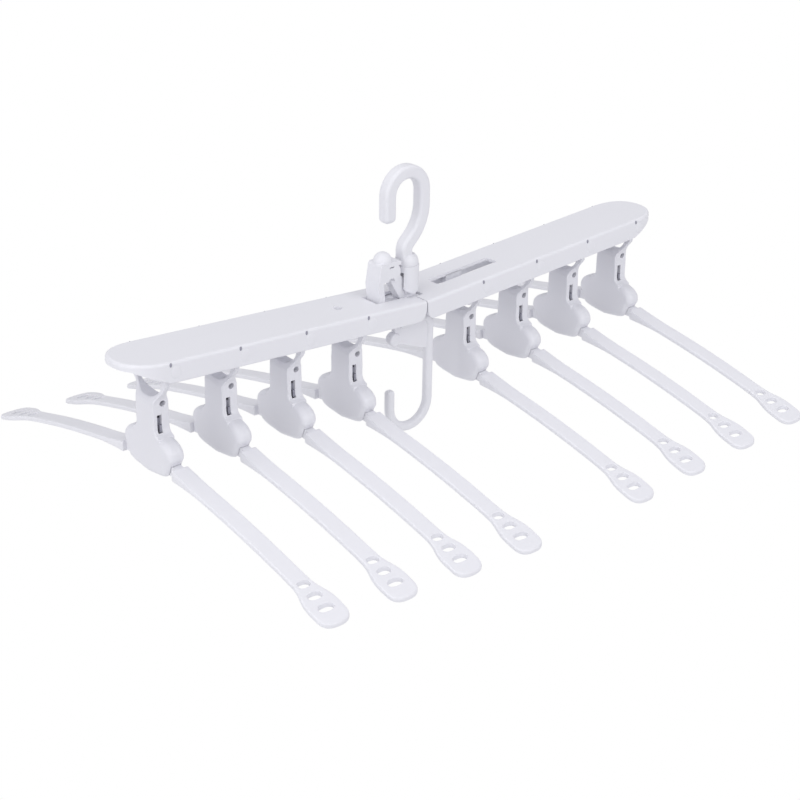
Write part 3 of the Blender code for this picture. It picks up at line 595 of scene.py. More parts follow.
def bevelled(obj, width, steps, angle_deg, outer_miter):
    """Rounds the edges that turn by more than an angle."""
    modifier = obj.modifiers.new("bevelled", "BEVEL")
    modifier.width = width * MM
    modifier.segments = steps
    modifier.limit_method = "ANGLE"
    modifier.angle_limit = math.radians(angle_deg)
    modifier.use_clamp_overlap = True
    modifier.miter_outer = outer_miter
    return swap_mesh(obj, evaluated_mesh(obj))


def soften(obj, width, steps=3, angle_deg=SHARP_DEG):
    """Rounds the edges that Booleans left sharp."""
    return bevelled(tidy(obj), width, steps, angle_deg, "MITER_ARC")


def bevelled_plate(name, outline, half_thick, rounding, steps):
    """A flat plate in XY whose rim alone is rounded, for wide roundings."""
    plate = prism(name, "z", outline, -half_thick, half_thick)
    return bevelled(plate, rounding, steps, RIM_DEG, "MITER_SHARP")


def welded_object(source, name):
    """Puts a plain mesh object in the place of a curve or of a node tree's result."""
    mesh = evaluated_mesh(source)
    bpy.data.objects.remove(source, do_unlink=True)
    with edited(mesh) as bm:
        bmesh.ops.remove_doubles(bm, verts=bm.verts, dist=WELD * MM)
        bmesh.ops.recalc_face_normals(bm, faces=bm.faces)
    return linked(name, mesh)


def line_curve(name, dimensions, points):
    """A curve of straight steps through (x, y, z, share of full size) points in millimetres."""
    curve = bpy.data.curves.new(name, "CURVE")
    curve.dimensions = dimensions
    spline = curve.splines.new("POLY")
    spline.points.add(len(points) - 1)
    for item, (x, y, z, share) in zip(spline.points, points):
        item.co = (x * MM, y * MM, z * MM, 1)
        item.radius = share
    return curve


def rounded_plate(name, outline, half_thick, rounding, steps=4):
    """A flat plate in XY with rounded edges, from a filled curve."""
    curve = line_curve(name, "2D", [(u, v, 0, 1) for u, v in outline])
    curve.splines[0].use_cyclic_u = True
    curve.fill_mode = "BOTH"
    curve.extrude = (half_thick - rounding) * MM
    curve.bevel_depth = rounding * MM
    curve.bevel_resolution = steps
    curve.offset = -rounding * MM
    return welded_object(linked(name, curve), name)


def stand_on_x(obj):
    """Turns a plate from XY so that its face looks along X, with u on Y and v on Z."""
    obj.data.transform(Matrix(((0, 0, 1, 0), (1, 0, 0, 0), (0, 1, 0, 0), (0, 0, 0, 1))))
    return obj


def moved(obj, x, y, z):
    """Moves a mesh by millimetres."""
    obj.data.transform(Matrix.Translation(Vector((x, y, z)) * MM))
    return obj


def copy_piece(source, name):
    return linked(name, source.data.copy())


def merge_objects(objects, name):
    """One object from several meshes."""
    mesh = bpy.data.meshes.new(name)
    with edited(mesh) as bm:
        for obj in objects:
            bm.from_mesh(obj.data)
            bpy.data.objects.remove(obj, do_unlink=True)
    return linked(name, mesh)


def slice_at(bm, axis, place):
    """Cuts the faces of a mesh being edited across an axis, at a place in millimetres."""
    geometry = bm.verts[:] + bm.edges[:] + bm.faces[:]
    bmesh.ops.bisect_plane(bm, geom=geometry, plane_co=Vector(axis) * (place * MM), plane_no=axis)


def dress(obj, material, body, nodes=(), angle_deg=SHADE_DEG):
    """Shades a finished piece, gives it its material and puts it on its body."""
    obj.data.shade_smooth()
    obj.data.set_sharp_from_angle(angle=math.radians(angle_deg))
    modifier = obj.modifiers.new("face_normals", "WEIGHTED_NORMAL")
    modifier.keep_sharp = True
    swap_mesh(obj, evaluated_mesh(obj))
    obj.data.name = obj.name
    obj.data.materials.clear()
    obj.data.materials.append(material)
    for polygon in obj.data.polygons:
        polygon.material_index = 0
    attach(obj, body)
    if nodes:
        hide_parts(*nodes)
    return obj


# Node trees

def new_tree(name, kind, entries, exits):
    """A node tree with (name, kind, default) sockets, and its input and output nodes."""
    tree = bpy.data.node_groups.new(name, kind)
    for direction, sockets in (("INPUT", entries), ("OUTPUT", exits)):
        for label, socket_kind, default in sockets:
            socket = tree.interface.new_socket(name=label, in_out=direction,
                                               socket_type="NodeSocket" + socket_kind)
            if default is not None:
                socket.default_value = default
    return tree, tree.nodes.new("NodeGroupInput"), tree.nodes.new("NodeGroupOutput")


def add_node(tree, kind, **values):
    """A node with some of its settings or unlinked inputs set, by name."""
    node = tree.nodes.new(kind)
    for key, value in values.items():
        if hasattr(node, key):
            setattr(node, key, value)
        else:
            node.inputs[key.replace("_", " ")].default_value = value
    return node


def wire(tree, *links):
    """Links nodes by (node, output, node, input)."""
    for source, output, target, entry in links:
        tree.links.new(source.outputs[output], target.inputs[entry])


def finish_tree(tree, inputs, outputs, last, output):
    """Ends a geometry tree: real meshes with the material that comes in."""
    tree.is_modifier = True
    realise = add_node(tree, "GeometryNodeRealizeInstances")
    paint = add_node(tree, "GeometryNodeSetMaterial")
    wire(tree, (last, output, realise, "Geometry"), (realise, "Geometry", paint, "Geometry"),
         (inputs, "Material", paint, "Material"), (paint, "Geometry", outputs, "Geometry"))
    return tree


# Materials

def moulded_surface_group():
    """Node group: faint flow clouds in the colour, fine grain in roughness and height."""
    tree = bpy.data.node_groups.get("moulded_surface")
    if tree:
        return tree
    tree, inputs, outputs = new_tree(
        "moulded_surface", "ShaderNodeTree",
        [("Colour", "Color", (0.8, 0.8, 0.84, 1)), ("Cloud colour", "Color", (0.74, 0.74, 0.8, 1)),
         ("Cloud amount", "Float", CLOUD_AMOUNT), ("Cloud scale", "Float", 22.0),
         ("Grain scale", "Float", 1600.0), ("Roughness", "Float", 0.42),
         ("Roughness spread", "Float", 0.08)],
        [("Colour", "Color", None), ("Roughness", "Float", None), ("Height", "Float", None)])
    place = add_node(tree, "ShaderNodeTexCoord")
    clouds = add_node(tree, "ShaderNodeTexNoise", Detail=3.0)
    grain = add_node(tree, "ShaderNodeTexNoise", Detail=2.0)
    amount = add_node(tree, "ShaderNodeMath", operation="MULTIPLY")
    mix = add_node(tree, "ShaderNodeMix", data_type="RGBA")
    spread = add_node(tree, "ShaderNodeMath", operation="MULTIPLY_ADD")
    wire(tree, (place, "Object", clouds, "Vector"), (place, "Object", grain, "Vector"),
         (inputs, "Cloud scale", clouds, "Scale"), (inputs, "Grain scale", grain, "Scale"),
         (clouds, "Fac", amount, 0), (inputs, "Cloud amount", amount, 1),
         (amount, "Value", mix, "Factor"), (inputs, "Colour", mix, "A"),
         (inputs, "Cloud colour", mix, "B"), (grain, "Fac", spread, 0),
         (inputs, "Roughness spread", spread, 1), (inputs, "Roughness", spread, 2),
         (mix, "Result", outputs, "Colour"), (spread, "Value", outputs, "Roughness"),
         (grain, "Fac", outputs, "Height"))
    return tree


def moulded(name, colour, cloud_share, roughness, grain, cloud_amount=CLOUD_AMOUNT, coat=COAT):
    """Moulded surface: the shared group with darker clouds, a bump from its grain, and a faint coat."""
    material = bpy.data.materials.get(name)
    if material:
        return material
    material = bpy.data.materials.new(name)
    material.use_nodes = True
    tree = material.node_tree
    shader = tree.nodes["Principled BSDF"]
    group = add_node(tree, "ShaderNodeGroup", node_tree=moulded_surface_group())
    group.inputs["Colour"].default_value = (*colour, 1)
    group.inputs["Cloud colour"].default_value = (*(c * cloud_share for c in colour), 1)
    group.inputs["Cloud amount"].default_value = cloud_amount
    group.inputs["Roughness"].default_value = roughness
    bump = add_node(tree, "ShaderNodeBump", Strength=grain, Distance=GRAIN_HEIGHT * MM)
    wire(tree, (group, "Colour", shader, "Base Color"), (group, "Roughness", shader, "Roughness"),
         (group, "Height", bump, "Height"), (bump, "Normal", shader, "Normal"))
    shader.inputs["IOR"].default_value = PLASTIC_IOR
    shader.inputs["Coat Weight"].default_value = coat
    shader.inputs["Coat Roughness"].default_value = COAT_ROUGHNESS
    return material


def finishes():
    """Materials of the mouldings, of the dark marks, also used as painted shade on the lock sliders, and of
    the pins.
    """
    look = bpy.context.scene.hanger_finish
    rough, grain = look.roughness, look.grain
    white, body, shade, steel = look.white, look.body_white, look.shade, look.steel
    made = {
        "beam_white": moulded("beam_white_moulding", white, CLOUD_SHARES["white"], rough, grain),
        "arm_white": moulded("arm_white_moulding", white, CLOUD_SHARES["white"],
                             rough + ARM_EXTRA_ROUGHNESS, grain),
        "shell_white": moulded("body_white_moulding", body, CLOUD_SHARES["body"], rough, grain),
        # Dark grey of the mould marks; the lock sliders take the same material as painted shade.
        "mark_and_painted_shade": moulded("mould_mark_and_painted_shade", shade, CLOUD_SHARES["shade"], MARK_ROUGHNESS, grain),
        "pin_steel": moulded("hinge_pin_steel", steel, CLOUD_SHARES["steel"], PIN_ROUGHNESS,
                             PIN_GRAIN, PIN_CLOUD_AMOUNT, coat=0.0),
    }
    made["pin_steel"].node_tree.nodes["Principled BSDF"].inputs["Metallic"].default_value = 1.0
    return made


# Geometry Nodes

def sweep_tree():
    """Bar with rounded edges along a curve: thickness, width, corner and end taper."""
    tree = bpy.data.node_groups.get("hook_bar_sweep")
    if tree:
        return tree
    tree, inputs, outputs = new_tree(
        "hook_bar_sweep", "GeometryNodeTree",
        [("Geometry", "Geometry", None), ("Thickness", "Float", 7 * MM), ("Width", "Float", 8 * MM),
         ("Corner", "Float", 2.4 * MM), ("Material", "Material", None)],
        [("Geometry", "Geometry", None)])
    section = add_node(tree, "GeometryNodeCurvePrimitiveQuadrilateral")
    fillet = add_node(tree, "GeometryNodeFilletCurve", mode="POLY", Count=5)
    sweep = add_node(tree, "GeometryNodeCurveToMesh", Fill_Caps=True)
    radius = add_node(tree, "GeometryNodeInputRadius")
    wire(tree, (inputs, "Thickness", section, "Width"), (inputs, "Width", section, "Height"),
         (section, "Curve", fillet, "Curve"), (inputs, "Corner", fillet, "Radius"),
         (inputs, "Geometry", sweep, "Curve"), (fillet, "Curve", sweep, "Profile Curve"),
         (radius, "Radius", sweep, "Scale"))
    return finish_tree(tree, inputs, outputs, sweep, "Mesh")


def marks_tree():
    """A row of squashed balls along X: count, spacing, radius and squash."""
    tree = bpy.data.node_groups.get("flange_mark_row")
    if tree:
        return tree
    tree, inputs, outputs = new_tree(
        "flange_mark_row", "GeometryNodeTree",
        [("Geometry", "Geometry", None), ("Count", "Int", 4), ("Spacing", "Float", 47 * MM),
         ("Radius", "Float", 1.1 * MM), ("Squash", "Vector", (1, 1, 1)), ("Material", "Material", None)],
        [("Geometry", "Geometry", None)])
    step = add_node(tree, "ShaderNodeCombineXYZ")
    row = add_node(tree, "GeometryNodeMeshLine")
    ball = add_node(tree, "GeometryNodeMeshUVSphere", Segments=18, Rings=9)
    scatter = add_node(tree, "GeometryNodeInstanceOnPoints")
    wire(tree, (inputs, "Spacing", step, "X"), (inputs, "Count", row, "Count"),
         (step, "Vector", row, "Offset"), (inputs, "Radius", ball, "Radius"),
         (row, "Mesh", scatter, "Points"), (ball, "Mesh", scatter, "Instance"),
         (inputs, "Squash", scatter, "Scale"))
    return finish_tree(tree, inputs, outputs, scatter, "Instances")


def apply_tree(source, tree, values, name):
    """Runs a node tree on an object and returns the result as a plain mesh object."""
    modifier = source.modifiers.new(tree.name, "NODES")
    modifier.node_group = tree
    for item in tree.interface.items_tree:
        if item.item_type == "SOCKET" and item.in_out == "INPUT" and item.name in values:
            modifier[item.identifier] = values[item.name]
    source.update_tag()
    return welded_object(source, name)


def swept_bar(name, path, thick, wide, corner, material):
    """A hook's bar along (x, z, share of full size) points in the XZ plane."""
    source = linked(name, line_curve(name, "3D", [(x, 0, z, share) for x, z, share in path]))
    return apply_tree(source, sweep_tree(), {"Thickness": wide * MM, "Width": thick * MM,
                                             "Corner": corner * MM, "Material": material}, name)


# Wings

def wing_plan(beam, side, start, inset, nose_power=WING_NOSE_POWER):
    """Plan of a wing drawn in by an inset: straight edges and a rounded end."""
    half = beam.half_width - inset
    nose = beam.nose - inset
    points = [(start, -half), (beam.straight, -half)]
    power = 2 / nose_power
    for k in range(1, 2 * WING_NOSE_STEPS):
        a = math.pi * (k / (2 * WING_NOSE_STEPS) - 0.5)
        across = math.copysign(abs(math.sin(a)) ** power, a) if abs(a) > WELD else 0.0
        points.append((beam.straight + nose * math.cos(a) ** power, half * across))
    points += [(beam.straight, half), (start, half)]
    return on_side(points, side)


def wing_layers(beam, side):
    """Bottom edge, walls and the rounded top edge of a wing."""
    edge = beam.edge
    lip = edge * WING_LIP_SHARE
    levels = [(-beam.depth, lip), (lip - beam.depth, 0), (-edge, 0)]
    for k in range(1, WING_ROUND_STEPS + 1):
        a = math.pi / 2 * k / WING_ROUND_STEPS
        levels.append((edge * (math.sin(a) - 1), edge * (1 - math.cos(a))))
    return [(level, wing_plan(beam, side, WING_INNER_END, inset)) for level, inset in levels]


def wing_piece(name, side, beam):
    """One wing with its cuts, x along it from the centre and z = 0 on its top plane."""
    low = -beam.depth - OVERRUN
    width = beam.half_width + OVERRUN
    open_end = WING_INNER_END - OVERRUN
    plate = (-WING_TOP - OVERRUN, OVERRUN)
    body = layered(name, "z", wing_layers(beam, side))
    hollow = wing_plan(beam, side, open_end, WING_WALL, HOLLOW_NOSE_POWER)
    relief = [(open_end, -HINGE_DROP)]
    relief += arc((HINGE_OUT, -HINGE_DROP), KNUCKLE_RADIUS, 180, 270, KNUCKLE_STEPS)
    relief += [(HINGE_OUT, low), (open_end, low)]
    cut(body, prism("hollow", "z", hollow, low, -WING_TOP),
        prism("relief", "y", on_side(relief, side), -width, width),
        block("hub_window", span(side, open_end, PLATE_START), (-TAB_INNER, TAB_INNER), plate))
    tip = beam.straight + beam.nose
    slope = [(tip + OVERRUN, -NOSE_LIP), (tip - NOSE_LIP_RUN, -NOSE_LIP),
             (tip - NOSE_LIP_RUN - NOSE_SLOPE_RUN, low), (tip + OVERRUN, low)]
    cut(body, prism("nose_slope", "y", on_side(slope, side), -width, width))
    seat = beam.half_width - WING_WALL + TRUNNION_SEAT
    for k in range(1, UNITS_PER_WING + 1):
        place = (side * k * beam.pitch, -TRUNNION_DROP)
        cut(body, rod("seat", "y", place, TRUNNION_RADIUS + RUNNING_GAP, -seat, seat))
    cut(body, rod("hinge_bore", "y", (side * HINGE_OUT, -HINGE_DROP),
                  HINGE_PIN_RADIUS + RUNNING_GAP, -seat, seat))
    if side < 0:
        notch_x = (-NOTCH_END, -PLATE_START + OVERRUN)
        cut(body, block("notch", notch_x, (-NOTCH_HALF, NOTCH_HALF), plate),
            rod("vent", "z", (-VENT_PLACE, 0), VENT_RADIUS, *plate, VENT_FACETS))
    else:
        near, far = NEST_START + NEST_CORNER, NEST_END - NEST_CORNER
        reach = NEST_HALF - NEST_CORNER
        nest = []
        for turn, centre in enumerate(((far, -reach), (far, reach), (near, reach), (near, -reach))):
            nest += arc(centre, NEST_CORNER, 90 * turn - 90, 90 * turn, CORNER_STEPS)
        cut(body, prism("nest", "z", nest, *plate))
    return body


def cradle_piece():
    """Curved floor and side walls under the slot that the folded hook's loop lies in."""
    upper, lower = [], []
    for k in range(CRADLE_STEPS + 1):
        x = CRADLE_START + (CRADLE_END - CRADLE_START) * k / CRADLE_STEPS
        for radius, line in ((CRADLE_RADIUS, upper), (CRADLE_RADIUS + CRADLE_WALL, lower)):
            reach = max(radius ** 2 - min(x - CRADLE_CENTRE, 0.0) ** 2, 0.0)
            line.append((x, CRADLE_CENTRE_RISE - math.sqrt(reach)))
    half = NEST_HALF + CRADLE_WALL
    parts = [prism("floor", "y", upper + list(reversed(lower)), -half, half)]
    root = GAP - WING_TOP
    wall = [(CRADLE_START, root)] + lower + [(CRADLE_END, root)]
    for across in (-1, 1):
        parts.append(prism("wall", "y", wall, *span(across, NEST_HALF, half)))
    return merge_objects(parts, "nest_cradle")


def to_wing_place(obj, side, beam):
    """Turns a wing-frame mesh up to its slope and sets it at the beam's height."""
    lift = Matrix.Translation(Vector((0, 0, beam_top())) * MM)
    obj.data.transform(lift @ Matrix.Rotation(-side * beam.rise, 4, "Y"))
    return obj


class HANGER_OT_wings(bpy.types.Operator):
    """Builds both wings, the cradle in the right one and the marks along the flanges"""
    bl_idname = "hanger.wings"
    bl_label = "Wings"

    def execute(self, context):
        beam = in_mm(context.scene.hanger_beam)
        made = finishes()
        count = context.scene.hanger_finish.mark_count
        white = made["beam_white"]
        for body_name, side in (("left_wing", -1), ("right_wing", 1)):
            piece = wing_piece(body_name + "_moulding", side, beam)
            soften(piece, WING_SOFT_EDGE, steps=2, angle_deg=WIDE_DEG)
            dress(to_wing_place(piece, side, beam), white, body_name, [body_name])
            for label, finish, drop, radius, squash, shift in FLANGE_MARKS:
                values = {"Count": count, "Spacing": side * beam.pitch * MM, "Radius": radius * MM,
                          "Squash": squash, "Material": made[finish]}
                rows = self.rows(side, beam, drop, shift, values)
                joined = to_wing_place(merge_objects(rows, f"{body_name}_{label}"), side, beam)
                dress(joined, made[finish], body_name)
        dress(to_wing_place(cradle_piece(), 1, beam), white, "right_wing")
        return {"FINISHED"}

    def rows(self, side, beam, drop, shift, values):
        """Balls set into both flanges, one at each trunnion."""
        lean = math.asin(max(0.0, 1 - drop / beam.edge))
        reach = beam.half_width - beam.edge * (1 - math.cos(lean))
        rows = []
        for across in (-1, 1):
            row = apply_tree(object_from("mark_row", [(0, 0, 0)], []), marks_tree(), values, "mark_row")
            rows.append(moved(row, side * beam.pitch + shift, across * reach, -drop))
        return rows


# Small hangers

def fork_half_outline(body):
    """Right half of the forked top and the neck, from the notch's floor round to inside the bulge."""
    neck = body.neck_half
    notch = []
    for k in range(NOTCH_STEPS + 1):
        a = math.pi / 2 * k / NOTCH_STEPS
        notch.append((EAR_INNER * math.sin(a) ** NOTCH_SQUARE,
                      -NOTCH_CENTRE_DROP - NOTCH_DEPTH * math.cos(a) ** NOTCH_SQUARE))
    corner = (EAR_OUTER - EAR_INNER) * EAR_CORNER_SHARE
    crown = arc((EAR_INNER + corner, EAR_TOP - corner), corner, 180, 90, FORK_STEPS)
    crown += arc((EAR_OUTER - corner, EAR_TOP - corner), corner, 90, 0, FORK_STEPS)
    brow = -SHOULDER_DROP + NECK_FILLET * BROW_SHARE
    middle = ((EAR_OUTER + neck) / 2 - corner * EAR_TUCK_SHARE,
              -(EAR_SHOULDER_DROP + NECK_TOP_DROP) / 2)
    side = smooth_line([(EAR_OUTER, -EAR_SHOULDER_DROP * EAR_SIDE_SHARE),
                        (EAR_OUTER, -EAR_SHOULDER_DROP), middle, (neck, -NECK_TOP_DROP),
                        (neck, (brow - NECK_TOP_DROP) / 2), (neck, brow)], FORK_STEPS)
    side = [(min(u, EAR_OUTER), v) for u, v in side]
    fillet = arc((neck + NECK_FILLET, brow), NECK_FILLET, 180, NECK_FILLET_END_DEG, FILLET_STEPS)[1:]
    root_out, root_drop = (NECK_FILLET * share for share in NECK_ROOT_SHARES)
    return notch + crown + side + fillet + [(neck + root_out, brow - root_drop), (0.0, brow - root_drop)]


def thin_fork(fork, body):
    """Slopes the forked top down from the neck's full thickness to thin ears."""
    with edited(fork.data) as bm:
        for k in range(EAR_SLICES + 1):
            slice_at(bm, (0, 0, 1), -EAR_THIN_DROP - (EAR_THICK_DROP - EAR_THIN_DROP) * k / EAR_SLICES)
        for vertex in bm.verts:
            t = (-vertex.co.z / MM - EAR_THIN_DROP) / (EAR_THICK_DROP - EAR_THIN_DROP)
            t = min(max(t, 0.0), 1.0)
            half = EAR_HALF + (body.half_thick - EAR_HALF) * t * t * (3 - 2 * t)
            vertex.co.x *= half / body.half_thick
    return fork


def bulge_half_outline(body, inset=0.0):
    """Right half of the round part, from the neck down to the belly."""
    half = body.bulge_half - inset
    rise = BULGE_TOP_DROP - SHOULDER_DROP
    start = -SHOULDER_DROP - rise * SHOULDER_START_SHARE - inset
    keys = [(body.neck_half, start)]
    for out_share, drop_share, inset_share in SHOULDER_SHARES:
        keys.append((half * out_share, -SHOULDER_DROP - rise * drop_share - inset * inset_share))
    side_share, side_rise_share = BULGE_SIDE_SHARES
    tuck = inset * MOUTH_INSET_SHARE
    keys += [(half, -BULGE_SIDE_DROP + rise * side_rise_share), (half * side_share, -BULGE_SIDE_DROP),
             (MOUTH_TOP_HALF - inset, -MOUTH_TOP_DROP), (MOUTH_LOW_HALF - tuck, -MOUTH_LOW_DROP + tuck),
             ((MOUTH_LOW_HALF + BELLY_HALF) / 2, -(MOUTH_LOW_DROP + BELLY_DROP) / 2 - BELLY_BOW + inset),
             (BELLY_HALF * BELLY_FLAT_SHARE, -BELLY_DROP + BELLY_RISE + inset), (0.0, -BELLY_DROP + inset)]
    return [(0.0, start)] + smooth_line(keys, BULGE_STEPS)


def shell_pair(body):
    """Both halves of a small hanger's body about its trunnion axis."""
    neck, thick = body.neck_half, body.half_thick
    fork = stand_on_x(bevelled_plate("fork", both_sides(fork_half_outline(body)),
                                     thick - SPLIT_GAP, body.neck_round, steps=5))
    thin_fork(fork, body)
    bulge = stand_on_x(bevelled_plate("bulge", both_sides(bulge_half_outline(body)),
                                      thick, body.bulge_round, steps=6))
    whole = join(fork, bulge)
    wall = SHELL_WALL
    inside = [(neck - wall, -CAVITY_TOP_DROP), (neck - wall, -SHOULDER_DROP)]
    inside += [p for p in bulge_half_outline(body, wall) if p[0] > neck]
    inside += [(BELLY_HALF * BELLY_FLAT_SHARE, -BELLY_DROP + wall)]
    depth = thick - wall
    cut(whole, prism("cavity", "x", both_sides(inside), -depth, depth))
    top = GAP - MOUTH_TOP_DROP
    far = ARM_PIVOT_OUT + ARM_ROOT_HEIGHT * 2
    low = -ARM_PIVOT_DROP - ARM_ROOT_HEIGHT * 2
    back = ARM_PIVOT_OUT - (ARM_EYE_RADIUS + ARM_ROOT_HEIGHT * 2 * MOUTH_BACK_SHARE)
    window_y = (WINDOW_SHIFT - WINDOW_HALF, WINDOW_SHIFT + WINDOW_HALF)
    pin_end = depth + wall / 2
    for across in (-1, 1):
        mouth = [(ARM_PIVOT_OUT - ARM_EYE_RADIUS, -ARM_PIVOT_DROP), (ARM_PIVOT_OUT, top), (far, top),
                 (far, low), (back, low)]
        window = span(across, neck - wall - OVERRUN, neck + OVERRUN)
        cut(whole, prism("mouth", "x", [(across * y, z) for y, z in mouth], -depth, depth),
            block("window", window_y, window, (-WINDOW_LOW_DROP, -WINDOW_TOP_DROP)),
            rod("eyelet", "y", (EYELET_SHIFT, -EYELET_DROP), EYELET_RADIUS,
                *span(across, neck - EYELET_DEPTH, EAR_OUTER)))
        pivot = (across * ARM_PIVOT_OUT, -ARM_PIVOT_DROP)
        ends = span(across, EAR_OUTER - OVERRUN, EAR_OUTER + TRUNNION_REACH + TRUNNION_OVERRUN)
        join(whole, rod("arm_pin", "x", pivot, ARM_PIN_RADIUS, -pin_end, pin_end, PIN_FACETS),
             rod("trunnion", "y", (0, 0), TRUNNION_RADIUS - SPLIT_GAP, *ends, PIN_FACETS))
    tidy(whole)
    halves = []
    slab_y = EAR_OUTER * 2
    for side in (-1, 1):
        slab = block("slab", span(side, SPLIT_GAP, thick * 2), (-slab_y, slab_y),
                     (-BELLY_DROP * 2, EAR_TOP * 2))
        halves.append(tidy(combine(copy_piece(whole, f"shell_half_{side}"), [slab], "INTERSECT")))
    bpy.data.objects.remove(whole, do_unlink=True)
    return halves


def arm_drop(arm, out):
    """How far the ribbon's middle lies below its pivot."""
    reach = arm.span - ARM_PIVOT_OUT
    return ARM_START_SLOPE * out + arm.curve_drop * (out / reach) ** 2


def arm_outline(arm):
    """Plan of an arm along +Y from its root, with a paddle at the end."""
    end = arm.span - ARM_PIVOT_OUT
    start = end - PADDLE_LENGTH
    width = arm.half_width
    gain = arm.paddle_half - width
    keys = [(width, start - PADDLE_LENGTH / 2), (width, start)]
    for along_share, width_share in PADDLE_SHARES:
        keys.append((width + gain * width_share, start + PADDLE_LENGTH * along_share))
    side = [(width, ARM_ROOT_START)] + smooth_line(keys, ARM_STEPS)
    tip_half, tip_start = side[-1]
    width_power, length_power = PADDLE_TIP_POWERS
    for k in range(1, PADDLE_TIP_STEPS + 1):
        a = math.pi / 2 * k / PADDLE_TIP_STEPS
        side.append((tip_half * math.cos(a) ** width_power,
                     tip_start + (end - tip_start) * math.sin(a) ** length_power))
    return both_sides(side)


def paddle_hole(arm, number):
    """One of the slots across a paddle, with squared-off ends."""
    out = arm.span - ARM_PIVOT_OUT - PADDLE_HOLE_INSET - number * PADDLE_HOLE_PITCH
    half = PADDLE_HOLE_HALF - number * PADDLE_HOLE_SHRINK
    points = []
    for k in range(PADDLE_HOLE_STEPS):
        a = 2 * math.pi * k / PADDLE_HOLE_STEPS
        across, along = (math.copysign(abs(part) ** PADDLE_HOLE_POWER, part)
                         for part in (math.cos(a), math.sin(a)))
        points.append((half * across, out + PADDLE_HOLE_DEPTH * along))
    return points


def arm_piece(name, across, arm):
    """One arm about its pivot, running out along Y."""
    ribbon = bevelled_plate(name, arm_outline(arm), arm.thickness / 2, arm.edge, steps=3)
    for number in range(PADDLE_HOLES):
        cut(ribbon, prism("hole", "z", paddle_hole(arm, number), -arm.thickness, arm.thickness))
    soften(ribbon, HOLE_SOFT_EDGE, steps=2, angle_deg=RIM_DEG)
    with edited(ribbon.data) as bm:
        out = ARM_ROOT_START + ARM_SLICE / 2
        while out < arm.span - ARM_PIVOT_OUT:
            slice_at(bm, (0, 1, 0), out)
            out += ARM_SLICE
        for vertex in bm.verts:
            out = vertex.co.y / MM
            taper = max(0.0, 1 - (out - ARM_ROOT_START) / ARM_ROOT_TAPER) ** ARM_TAPER_POWER
            scale = 1 + (ARM_ROOT_HEIGHT / arm.thickness - 1) * taper
            vertex.co.z = vertex.co.z * scale - arm_drop(arm, out) * MM
            vertex.co.y = across * vertex.co.y
        bmesh.ops.recalc_face_normals(bm, faces=bm.faces)
    neck_middle = -arm_drop(arm, ARM_ROOT_START)
    neck_half = ARM_ROOT_HEIGHT / 2 - GAP * 2
    neck_y = ARM_ROOT_START + OVERRUN
    tongue = arc((0, 0), ARM_EYE_RADIUS, 90, 270, ARM_EYE_STEPS)
    tongue += [(neck_y, neck_middle - neck_half), (neck_y, neck_middle + neck_half)]
    tongue = [(across * y, z) for y, z in tongue]
    neck = prism("tongue", "x", tongue, -ARM_TONGUE_HALF, ARM_TONGUE_HALF)
    reach = arm.half_width
    cut(neck, rod("bore", "x", (0, 0), ARM_PIN_RADIUS + RUNNING_GAP, -reach, reach, PIN_FACETS))
    return merge_objects([ribbon, neck], name)


def place_mm(joint_name):
    """A joint's place in millimetres."""
    return [value / MM for value in JOINTS[joint_name]["pos_m"]]


class HANGER_OT_small_hangers(bpy.types.Operator):
    """Builds the body halves and both arms of every small hanger"""
    bl_idname = "hanger.small_hangers"
    bl_label = "Small hangers"

    def execute(self, context):
        body = in_mm(context.scene.hanger_body)
        arm = in_mm(context.scene.hanger_arm)
        made = finishes()
        halves = dict(zip(("left_shell", "right_shell"), shell_pair(body)))
        arms = {"near_arm": arm_piece("near_arm_master", -1, arm),
                "far_arm": arm_piece("far_arm_master", 1, arm)}
        for number in range(1, UNIT_COUNT + 1):
            for kind, source in halves.items():
                node = f"{kind}_{number}"
                piece = moved(copy_piece(source, node + "_moulding"), *place_mm(f"unit_tilt_{number}"))
                dress(piece, made["shell_white"], f"unit_{number}", [node])
            for kind, source in arms.items():
                node = f"{kind}_{number}"
                place = place_mm(f"{kind}_fold_{number}")
                piece = moved(copy_piece(source, node + "_moulding"), *place)
                dress(piece, made["arm_white"], node, [node])
        for source in list(halves.values()) + list(arms.values()):
            bpy.data.objects.remove(source, do_unlink=True)
        return {"FINISHED"}


# Hub, column and latch

def at_beam(obj):
    """Lifts a mesh from the wings' top line to its place in the frame."""
    return moved(obj, 0, 0, beam_top())


